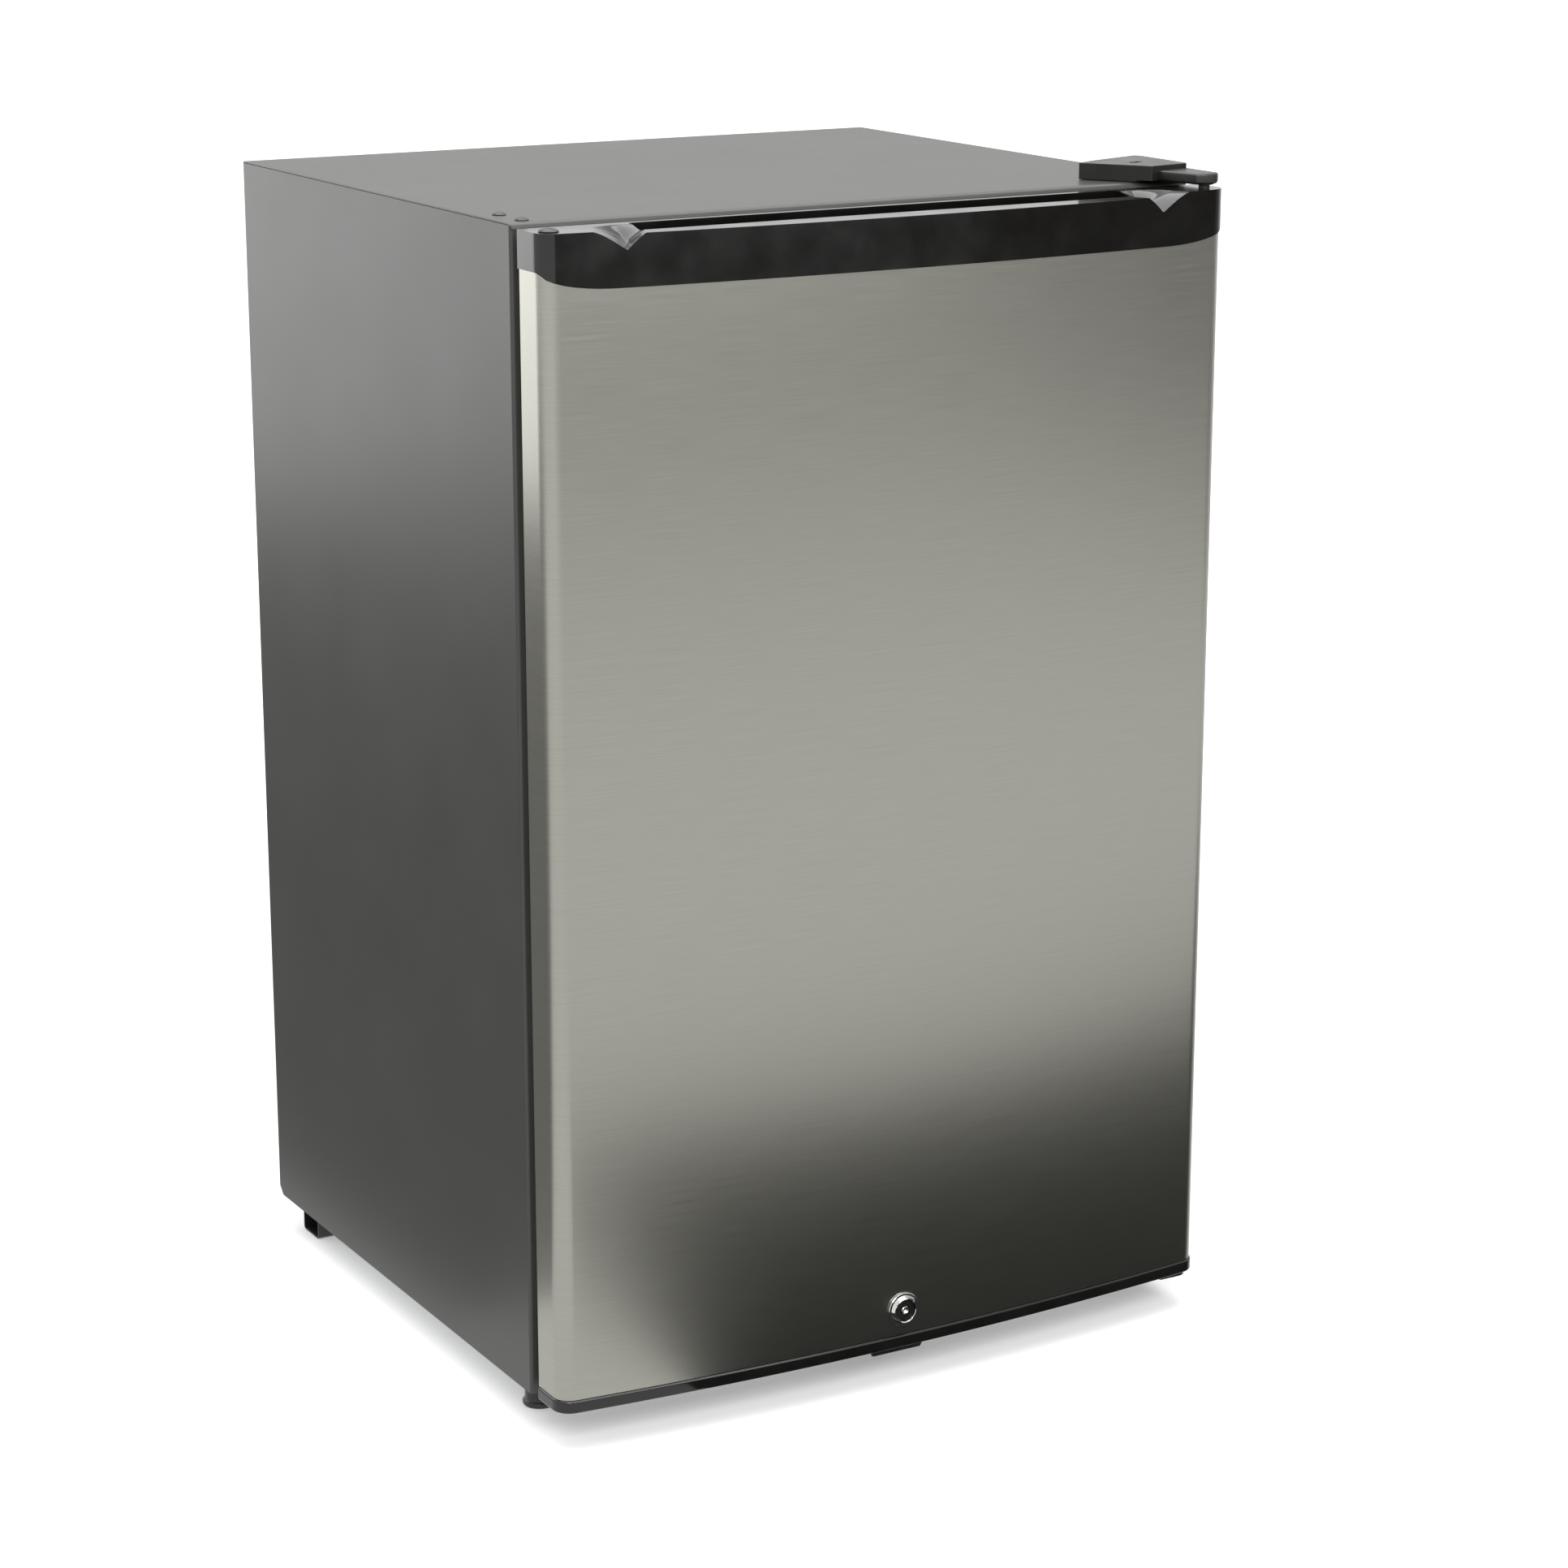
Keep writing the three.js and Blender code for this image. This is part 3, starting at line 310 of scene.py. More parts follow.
def placed(piece, node, slot, smooth=35, body=None):
    """Finishes a piece: shading, its slot's material, and the node and body it belongs to."""
    only(piece)
    bpy.ops.object.shade_smooth_by_angle(angle=math.radians(smooth))
    applied(piece, "WEIGHTED_NORMAL", keep_sharp=True)
    piece.data.materials.clear()
    piece.data.materials.append(FINISH[slot])
    rider = frame["nodes"][node]["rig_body"] if body is None else body
    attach(piece, rider)
    if body is None:
        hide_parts(node)
    return piece


def kept(node, slot):
    """Gives a mechanical node that already has the right shape its material."""
    shown = frame["nodes"][node]
    shown.data.materials.clear()
    shown.data.materials.append(FINISH[slot])
    return shown


def arc(centre, radius, start, end, steps):
    """Points of an arc, in degrees."""
    turns = [math.radians(start + (end - start) * i / steps) for i in range(steps + 1)]
    return [(centre[0] + radius * math.cos(t), centre[1] + radius * math.sin(t)) for t in turns]


def filleted(points, radius, steps=4):
    """A path through points with its corners rounded, for bent tubes and wires."""
    points = [Vector(p) for p in points]
    path = [points[0]]
    for a, b, c in zip(points, points[1:], points[2:]):
        reach = min(radius, (b - a).length / 2, (c - b).length / 2)
        first, last = b + (a - b).normalized() * reach, b + (c - b).normalized() * reach
        for i in range(steps + 1):
            t = i / steps
            path.append(first * (1 - t) ** 2 + b * 2 * t * (1 - t) + last * t**2)
    return [*path, points[-1]]


# ---------------------------------------------------------------- materials


def linear(colour):
    """An sRGB hex colour as linear RGBA."""
    parts = [int(colour[i : i + 2], 16) / 255 for i in (1, 3, 5)]
    return [*(p / 12.92 if p <= 0.04045 else ((p + 0.055) / 1.055) ** 2.4 for p in parts), 1]


def add(tree, kind, inputs=None, **settings):
    """Adds a node, sets it up, and fills or links its inputs."""
    made = tree.nodes.new(kind)
    for key, value in settings.items():
        setattr(made, key, value)
    for key, value in (inputs or {}).items():
        if isinstance(value, bpy.types.NodeSocket):
            tree.links.new(value, made.inputs[key])
        else:
            made.inputs[key].default_value = value
    return made


def grain(tree, size, detail=2.0, roughness=0.5, stretch=(1, 1, 1)):
    """Noise whose grains measure size metres, stretched along the axes."""
    place = add(tree, "ShaderNodeTexCoord").outputs["Object"]
    scale = [1 / (size * s) for s in stretch]
    spread = add(tree, "ShaderNodeMapping", {"Vector": place, "Scale": scale})
    return add(
        tree,
        "ShaderNodeTexNoise",
        {"Vector": spread.outputs[0], "Scale": 1.0, "Detail": detail, "Roughness": roughness},
    ).outputs["Fac"]


def ranged(tree, value, low, high, start=0.3, end=0.7):
    """Spreads a pattern from low to high."""
    return add(
        tree,
        "ShaderNodeMapRange",
        {"Value": value, "From Min": start, "From Max": end, "To Min": low, "To Max": high},
    ).outputs["Result"]


def toned(tree, value, dark, light):
    """A colour between two, by a pattern."""
    return add(
        tree,
        "ShaderNodeMix",
        {"Factor": ranged(tree, value, 0, 1), 6: linear(dark), 7: linear(light)},
        data_type="RGBA",
    ).outputs[2]


def bumped(tree, height, depth, below=None):
    """Relief of a real depth in metres."""
    inputs = {"Height": height, "Strength": 1.0, "Distance": depth}
    if below:
        inputs["Normal"] = below
    return add(tree, "ShaderNodeBump", inputs).outputs["Normal"]


def finish(tree, tone, shades, sheen, roughness, relief, depth):
    """The colour, roughness and relief that every finish has, each with its own pattern."""
    return {
        "Base Color": toned(tree, tone, *shades),
        "Roughness": ranged(tree, sheen, *roughness),
        "Normal": bumped(tree, relief, depth * MM),
    }


def surface(name, build, **sockets):
    """A material whose shader has fixed sockets and the patterns that build returns."""
    material = bpy.data.materials.new(name)
    material.use_nodes = True
    tree = material.node_tree
    tree.nodes.clear()
    inputs = {key.replace("_", " "): value for key, value in sockets.items()}
    inputs.update(build(tree))
    shader = add(tree, "ShaderNodeBsdfPrincipled", inputs)
    add(tree, "ShaderNodeOutputMaterial", {"Surface": shader.outputs[0]})
    return material


def baked_paint(tree):
    """Satin charcoal stove enamel on steel: a slight orange peel, and a faint cloudiness in its sheen."""
    peel, cloud = grain(tree, 2.2 * MM, 2), grain(tree, 70 * MM, 3)
    shades = colours().cabinet_dark, colours().cabinet
    return finish(tree, cloud, shades, cloud, (0.385, 0.415), peel, 0.012)


def black_enamel(tree):
    """Thin black enamel over sheet and tube: dull, with small runs and dust."""
    speck, cloud = grain(tree, 0.9 * MM, 3), grain(tree, 40 * MM, 3)
    return finish(tree, cloud, ("#151514", "#222221"), cloud, (0.4, 0.52), speck, 0.01)


def brushed_stainless(tree):
    """Ferritic stainless with a straight horizontal brushing: fine parallel lines of uneven length.
    The real lines are about 0.1 mm apart and are drawn at about 0.45 mm, so that they show."""
    fine = grain(tree, 0.45 * MM, 3, 0.6, (110, 110, 1))
    long = grain(tree, 3 * MM, 2, 0.5, (90, 90, 1))
    colour = toned(tree, fine, colours().steel_dark, colours().steel)
    tangent = add(tree, "ShaderNodeTangent", direction_type="RADIAL", axis="Z").outputs[0]
    first = bumped(tree, long, 0.002 * MM)
    return {
        "Base Color": colour,
        "Roughness": ranged(tree, fine, 0.29, 0.34),
        "Normal": bumped(tree, fine, 0.002 * MM, first),
        "Tangent": tangent,
    }


def moulded_gloss(tree):
    """Glossy black ABS, moulded against a polished tool: almost flawless, with faint handling haze."""
    haze, flow = grain(tree, 25 * MM, 4), grain(tree, 14 * MM, 1)
    return finish(tree, haze, ("#0f0e0d", "#141312"), haze, (0.1, 0.17), flow, 0.02)


def moulded_satin(tree):
    """Black nylon and polypropylene with a fine spark-eroded grain."""
    spark, haze = grain(tree, 0.7 * MM, 2), grain(tree, 18 * MM, 2)
    shades = colours().plastic_dark, colours().plastic
    return finish(tree, haze, shades, haze, (0.3, 0.38), spark, 0.018)


def chrome_plate(tree):
    """Chromium plated zinc casting: mirror bright, with faint polishing waves."""
    wave = grain(tree, 3 * MM, 2)
    return finish(tree, wave, ("#d2d2d0", "#dddddc"), wave, (0.03, 0.07), wave, 0.0005)


def zinc_plate(tree):
    """Galvanised sheet and bright zinc plated steel: pale grey crystals 8 mm across."""
    place = add(tree, "ShaderNodeTexCoord").outputs["Object"]
    size = {"Vector": place, "Scale": 1 / (8 * MM)}
    crystal = add(tree, "ShaderNodeTexVoronoi", size).outputs["Distance"]
    rolled = grain(tree, 0.8 * MM, 2, 0.5, (20, 20, 1))
    return finish(tree, crystal, ("#9da0a0", "#b3b6b6"), crystal, (0.34, 0.46), rolled, 0.006)


def formed_polystyrene(tree):
    """White high-impact polystyrene, vacuum formed: soft sheen and a very fine orange peel."""
    peel, cloud = grain(tree, 1.4 * MM, 2), grain(tree, 90 * MM, 2)
    shades = colours().liner_shade, colours().liner
    return finish(tree, cloud, shades, cloud, (0.32, 0.42), peel, 0.012)


def rigid_foam(tree):
    """Blown polyurethane: pale yellow cells about 1 mm across."""
    cell = grain(tree, 1.1 * MM, 3)
    return finish(tree, cell, ("#c4b06a", "#dccf95"), cell, (0.8, 0.95), cell, 0.3)


def soft_vinyl(tree):
    """Black magnetic gasket: extruded soft PVC with a dull, slightly dusty skin."""
    dust, skin = grain(tree, 6 * MM, 4), grain(tree, 0.6 * MM, 2)
    return finish(tree, dust, ("#141414", "#1f2020"), dust, (0.5, 0.66), skin, 0.02)


def float_glass(tree):
    """Tempered shelf glass: clear with a green cast, and a hardly visible roller wave."""
    wave = grain(tree, 40 * MM, 1)
    return finish(tree, wave, ("#eaf5f1", "#f2faf7"), wave, (0.01, 0.04), wave, 0.01)


def clear_styrene(tree):
    """Clear injection moulded polystyrene: almost colourless, with flow marks and light scuffs."""
    flow = grain(tree, 12 * MM, 2)
    return finish(tree, flow, ("#f6f9fa", "#fcfdfe"), flow, (0.02, 0.07), flow, 0.02)


def black_rubber(tree):
    """Moulded neoprene: matt, greyish with bloom."""
    bloom = grain(tree, 3 * MM, 4)
    return finish(tree, bloom, ("#141414", "#262625"), bloom, (0.7, 0.88), bloom, 0.05)


def drawn_copper(tree):
    """Drawn copper tube, browned by brazing and handling."""
    stain = grain(tree, 9 * MM, 4)
    return finish(tree, stain, ("#9a5534", "#c47b52"), stain, (0.24, 0.4), stain, 0.01)


def make_materials():
    """Every finish of the refrigerator, by its slot in the record."""
    clear = {"IOR": 1.5, "Transmission_Weight": 0.92}
    return {
        "painted_steel": surface("baked_charcoal_paint", baked_paint, IOR=1.52),
        "black_steel": surface("black_enamel_on_steel", black_enamel, IOR=1.5),
        "stainless_steel": surface("brushed_stainless", brushed_stainless, Metallic=1.0, Anisotropic=0.6),
        "gloss_black": surface("moulded_gloss_abs", moulded_gloss, IOR=1.54),
        "satin_black": surface("moulded_satin_plastic", moulded_satin, IOR=1.5),
        "chrome": surface("chrome_plate", chrome_plate, Metallic=1.0),
        "zinc_steel": surface("zinc_plate", zinc_plate, Metallic=1.0),
        "white_liner": surface("formed_polystyrene", formed_polystyrene, IOR=1.55),
        "foam": surface("rigid_foam", rigid_foam, IOR=1.4),
        "gasket": surface("soft_vinyl_gasket", soft_vinyl, IOR=1.5),
        "shelf_glass": surface("tempered_glass", float_glass, **clear),
        "clear_plastic": surface("clear_styrene", clear_styrene, IOR=1.45, Transmission_Weight=0.96),
        "rubber": surface("black_neoprene", black_rubber, IOR=1.5),
        "copper": surface("drawn_copper", drawn_copper, Metallic=1.0),
    }


def hex_colour(name, default, description="sRGB hex"):
    """A colour that can be set in the panel."""
    return bpy.props.StringProperty(name=name, description=description, default=default)


def length(name, description, default):
    """A length in metres that can be set in the panel."""
    return bpy.props.FloatProperty(name=name, description=description, default=default, unit="LENGTH")


class FridgeColours(bpy.types.PropertyGroup):
    """Colours of the main finishes."""

    cabinet: hex_colour("Cabinet paint", "#3a3b38")
    cabinet_dark: hex_colour("Cabinet paint, darker clouds", "#363734")
    steel: hex_colour("Steel", "#aeada5", "sRGB hex, brushing's crests")
    steel_dark: hex_colour("Steel, darker", "#a4a39a", "sRGB hex, brushing's grooves")
    plastic: hex_colour("Satin plastic", "#1b1917")
    plastic_dark: hex_colour("Satin plastic, darker", "#141312")
    liner: hex_colour("Liner", "#f0eee8")
    liner_shade: hex_colour("Liner, shaded", "#e9e7e0")
    backdrop: hex_colour("Backdrop", "#ffffff")


class FridgeSizes(bpy.types.PropertyGroup):
    """Roundings and small sizes that the mechanical model leaves to the looks."""

    fold_radius: length("Fold radius", "Outer radius of the cabinet's folded edges", 2.5 * MM)
    top_radius: length("Top's front radius", "Rounded front edge of the top", 4 * MM)
    door_corner: length("Door corner", "Radius of the door's front corners", 12 * MM)
    door_side: length("Door side", "Flat part of the door's side", 21 * MM)
    trim_edge: length("Trim edge", "Rounding of the bottom trim", 1.6 * MM)
    liner_corner: length("Liner corner", "Radius of the liner's corners", 9 * MM)
    scoop_depth: length("Scoop depth", "How far the thumb scoops dip at the front", 14 * MM)
    scoop_width: length("Scoop width", "Outer slope of a thumb scoop", 30 * MM)


# ---------------------------------------------------------------- shapes shared by several pieces


def section(points, x0, x1, name):
    """A solid from an outline of [y, z] points, extruded along X."""
    return outlined(name, [(x0, y, z) for y, z in points], (x1 - x0, 0, 0))


def plate(points, z0, z1, name):
    """A solid from an outline of [x, y] points, extruded upwards."""
    return outlined(name, [(x, y, z0) for x, y in points], (0, 0, z1 - z0))


def facing(points, y0, y1, name):
    """A solid from an outline of [x, z] points, extruded backwards."""
    return outlined(name, [(x, y0, z) for x, z in points], (0, y1 - y0, 0))


def door_outline(grow, back, bow_steps=56, corner_steps=8):
    """The door seen from above: flat sides, round corners and a front bowed to the crown."""
    corner = sizes().door_corner
    cx, cy = HALF - corner, DOOR_BACK - sizes().door_side
    step = DOOR_CROWN - cy
    radius = (cx**2 + step**2 - corner**2) / (-2 * (step + corner))
    centre = DOOR_CROWN + radius
    half_angle = math.degrees(math.asin(cx / (radius - corner)))
    bow = arc((0, centre), radius + grow, half_angle - 90, -90 - half_angle, bow_steps)
    return [
        (HALF + grow, back),
        *arc((cx, cy), corner + grow, 0, half_angle - 90, corner_steps),
        *bow[1:-1],
        *arc((-cx, cy), corner + grow, -90 - half_angle, -180, corner_steps),
        (-HALF - grow, back),
    ]


def cap_edge(level, up):
    """A tool for everything above, or below, the cap's lower edge, which curves down from the sides."""
    curve, steps = 50 * MM, 14
    side = CAP_HIGH.z - 24 * MM + level
    front = CAP_LOW.z + level
    quarter = [
        (HALF - curve * (1 - i / steps), front + (side - front) * (1 - math.sqrt(1 - (i / steps) ** 2)))
        for i in range(steps + 1)
    ]
    edge = [(-x, z) for x, z in reversed(quarter)] + quarter
    reach = HALF + 6 * MM
    far = front + (60 if up else -30) * MM
    points = [(-reach, side), *edge, (reach, side), (reach, far), (-reach, far)]
    return facing(points, DOOR_CROWN - 12 * MM, DOOR_BACK + 4 * MM, "cap_edge_tool")


def frame_ring(name, half, z0, z1, width, y0, y1):
    """A rectangular frame."""
    outer = block(name, (-half, y0, z0), (half, y1, z1))
    inner = block(name + "_tool", (-half + width, y0 - MM, z0 + width), (half - width, y1 + MM, z1 - width))
    return without(outer, inner)


def hollowed(piece, radius, wall, floor):
    """Makes a tray of a block: every edge but the rim is rounded, and the top is inset and pushed down."""
    top = max(v.co.z for v in piece.data.vertices)
    rounded(piece, lambda e: not all(v.co.z > top - 0.1 * MM for v in e.verts), radius, 4)
    shaping(piece)
    chosen(piece, faces=lambda f: f.normal.z > 0.9 and f.calc_center_median().z > top - 0.1 * MM)
    bpy.ops.mesh.inset(thickness=wall, depth=0)
    bpy.ops.mesh.extrude_region_move(TRANSFORM_OT_translate={"value": (0, 0, floor - top)})
    return only(piece)


def rounded(piece, test, radius, segments):
    """Rounds the edges that pass a test."""
    shaping(piece)
    chosen(piece, edges=test)
    bpy.ops.mesh.bevel(offset=radius, segments=segments, affect="EDGES")
    return only(piece)


def pressed(piece, test, *steps):
    """Insets the faces that pass a test, once for each thickness and depth."""
    shaping(piece)
    chosen(piece, faces=test)
    for thickness, depth in steps:
        bpy.ops.mesh.inset(thickness=thickness, depth=depth)
    return only(piece)


def both_sides(name, near, far, low, high):
    """Two like blocks, left and right of the middle: from X near to far, and between two Y, Z corners."""
    made = []
    for side in (-1, 1):
        x0, x1 = sorted((side * near, side * far))
        made.append(block(name, (x0, *low), (x1, *high)))
    return made


def upright(edge):
    """Whether an edge stands along Z."""
    return abs(edge.verts[0].co.z - edge.verts[1].co.z) > MM


def stepped(radius, base, rows):
    """Part of a lathe's outline. Each row is the way inside a radius and past a base, in millimetres."""
    return [(radius - inside * MM, base + past * MM) for inside, past in rows]


def shrunk(points, share):
    """An outline drawn smaller round its own middle."""
    middle = [sum(point[i] for point in points) / len(points) for i in (0, 1)]
    return [tuple(m + (value - m) * share for m, value in zip(middle, point)) for point in points]


def centre_of(node):
    """Middle of a node's box."""
    low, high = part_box(node)
    return (low + high) / 2


# ---------------------------------------------------------------- cabinet


class FRIDGE_OT_cabinet(bpy.types.Operator):
    """Folded sheet-metal cabinet: two sides, the top with its rounded front edge, and the back"""

    bl_idname = "fridge.cabinet"
    bl_label = "Cabinet panels"

    def execute(self, context):
        sheet, radius, top_radius = MM, sizes().fold_radius, sizes().top_radius
        inner = -SIDE_HIGH.x
        rear_return = 16 * MM
        outline = [
            (inner, FACE_Y),
            *arc((HALF - radius, FACE_Y + radius), radius, -90, 0, 5),
            *arc((HALF - radius, REAR_Y - radius), radius, 0, 90, 5),
            (HALF - rear_return, REAR_Y),
            (HALF - rear_return, REAR_Y - sheet),
            *arc((HALF - radius, REAR_Y - radius), radius - sheet, 90, 0, 5),
            *arc((HALF - radius, FACE_Y + radius), radius - sheet, 0, -90, 5),
            (inner, FACE_Y + sheet),
        ]
        right = plate(outline, SIDE_LOW.z, SIDE_HIGH.z, "right_side_panel")
        shaping(right)
        bpy.ops.mesh.bisect(
            plane_co=(0, REAR_Y - 8 * MM, SIDE_LOW.z), plane_no=(0, 1, -1), use_fill=True, clear_outer=True
        )
        notch_low = CABINET_TOP - top_radius - 2 * FIT
        notch = block(
            "notch_tool",
            (inner - MM, FACE_Y - MM, notch_low),
            (HALF - sheet - 0.1 * MM, FACE_Y + top_radius + MM, CABINET_TOP + MM),
        )
        without(right, notch)
        left = mirrored(right, "left_side_panel")
        for piece, node in ((right, "side_panel_right"), (left, "side_panel_left")):
            eased(piece, 0.25 * MM, 60, 2)
            placed(piece, node, "painted_steel")

        lip_low, rear_low = CABINET_TOP - 28 * MM, CABINET_TOP - 16 * MM
        profile = [
            (FACE_Y, lip_low),
            *arc((FACE_Y + top_radius, CABINET_TOP - top_radius), top_radius, 180, 90, 8),
            *arc((REAR_Y - radius, CABINET_TOP - radius), radius, 90, 0, 5),
            (REAR_Y, rear_low),
            (REAR_Y - sheet, rear_low),
            *arc((REAR_Y - radius, CABINET_TOP - radius), radius - sheet, 0, 90, 5),
            *arc((FACE_Y + top_radius, CABINET_TOP - top_radius), top_radius - sheet, 90, 180, 8),
            (FACE_Y + sheet, lip_low),
        ]
        top = section(profile, TOP_LOW.x, TOP_HIGH.x, "top_panel_sheet")
        under = CABINET_TOP - sheet - FIT
        tools = []
        for side in (-1, 1):
            spans = [
                (inner - FIT, TOP_HIGH.x + MM, FACE_Y - MM, FACE_Y + 3 * MM, notch_low + FIT),
                (HALF - sheet - FIT, TOP_HIGH.x + MM, FACE_Y - MM, REAR_Y + MM, under),
                (HALF - rear_return - FIT, TOP_HIGH.x + MM, REAR_Y - 3 * MM, REAR_Y + MM, under),
            ]
            for x0, x1, y0, y1, high in spans:
                xs = sorted((side * x0, side * x1))
                tools.append(block("end_tool", (xs[0], y0, lip_low - 5 * MM), (xs[1], y1, high)))
        without(top, *tools)
        for node in ("top_hinge_screw_1", "top_hinge_screw_2", "spare_hole_plug_1", "spare_hole_plug_2"):
            place = centre_of(node)
            without(top, rod("hole_tool", (place.x, place.y, CABINET_TOP), 2.3 * MM, 20 * MM, sides=24))
        placed(top, "top_panel", "painted_steel")

        low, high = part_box("back_panel")
        back = block("back_sheet", low, high)
        pressed(back, lambda f: f.normal.y > 0.9, (14 * MM, 0), (1.5 * MM, -0.5 * MM))
        eased(back, 0.2 * MM, 60, 1)
        placed(back, "back_panel", "black_steel")
        kept("front_rail", "black_steel")
        for node in ("machine_bulkhead", "bottom_panel", "compressor_platform"):
            kept(node, "zinc_steel")
        for node in ("foam_insulation", "door_foam"):
            kept(node, "foam")
        return {"FINISHED"}


class FRIDGE_OT_feet(bpy.types.Operator):
    """Two levelling feet with a flared base and a threaded stem, and the folded rear channel"""

    bl_idname = "fridge.feet"
    bl_label = "Feet"

    def execute(self, context):
        low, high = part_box("levelling_foot_left")
        radius, stem = (high.x - low.x) / 2, 4 * MM
        cup = 21 * MM
        thread = []
        pitch = 1.5 * MM
        turns = int((high.z - cup - 1.5 * MM) / pitch)
        for i in range(turns):
            z = cup + i * pitch
            thread += [(stem, z), (stem, z + 0.5 * pitch), (stem - 0.5 * MM, z + 0.75 * pitch)]
        profile = [
            (0, 0),
            *stepped(radius, 0, [(1.2, 0), (0.35, 0.35), (0, 1.2), (0, 2.6), (0.6, 3.6), (1.5, 4.4)]),
            *stepped(radius, cup, [(1.6, -2.4), (2.1, -1), (3.4, -0.1)]),
            (stem, cup),
            *thread,
            (stem - 0.6 * MM, high.z),
            (0, high.z),
        ]
        centre = centre_of("levelling_foot_left")
        left = turned("left_foot", profile, (centre.x, centre.y, 0))
        right = copied(left, "right_foot", (-2 * centre.x, 0, 0))
        placed(left, "levelling_foot_left", "satin_black")
        placed(right, "levelling_foot_right", "satin_black")

        low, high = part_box("rear_foot_channel")
        wall, bend = 1.5 * MM, 3 * MM
        profile = [
            (low.y, high.z),
            *arc((low.y + bend, low.z + bend), bend, 180, 270, 5),
            *arc((high.y - bend, low.z + bend), bend, 270, 360, 5),
            (high.y, high.z),
            (high.y - wall, high.z),
            *arc((high.y - bend, low.z + bend), bend - wall, 360, 270, 5),
            *arc((low.y + bend, low.z + bend), bend - wall, 270, 180, 5),
            (low.y + wall, high.z),
        ]
        channel = section(profile, low.x, high.x, "rear_channel")
        eased(channel, 0.25 * MM, 60, 2)
        placed(channel, "rear_foot_channel", "black_steel")
        return {"FINISHED"}


# ---------------------------------------------------------------- door


def scoop_tool(side):
    """The space of one thumb scoop: a valley that dips to a point and runs back beside the lip."""
    lip_back, scoop_back = DOOR_BACK - 26 * MM, DOOR_BACK - 6 * MM
    front = DOOR_CROWN - 4 * MM
    dip = side * (HALF - 51 * MM)
    width, inner_width, rise = sizes().scoop_width, 21 * MM, 0.8 * MM
    only(None)
    middle = (dip - side * 6 * MM, (front + scoop_back) / 2, 0)
    bpy.ops.mesh.primitive_grid_add(x_subdivisions=64, y_subdivisions=40, size=1, location=middle)
    bpy.context.object.scale = (74 * MM, scoop_back - front + 6 * MM, 1)
    tool = settled("scoop_tool")
    for vertex in tool.data.vertices:
        x, y, _ = vertex.co
        along = min(1.0, max(0.0, (y - DOOR_CROWN) / (lip_back - DOOR_CROWN)))
        valley = dip - side * 11 * MM * along
        across = side * (valley - x)  # positive towards the door's middle
        share = min(1.0, -across / width) if across < 0 else min(1.0, across / inner_width)
        shape = (1 - share) ** 2 * (1 + 0.6 * share) if across < 0 else (1 - share) ** 1.6
        closing = min(1.0, max(0.0, (y - lip_back) / (scoop_back - lip_back)))
        depth = (sizes().scoop_depth + rise) * (1 - 0.3 * along) * (1 - closing * closing * (3 - 2 * closing))
        vertex.co.z = CAP_HIGH.z + rise - depth * shape
    shaping(tool)
    bpy.ops.mesh.extrude_region_move(TRANSFORM_OT_translate={"value": (0, 0, 20 * MM)})
    bpy.ops.transform.resize(value=(1, 1, 0), center_override=(0, 0, CAP_HIGH.z + 10 * MM))
    bpy.ops.mesh.select_all(action="SELECT")
    bpy.ops.mesh.normals_make_consistent(inside=False)
    return only(tool)


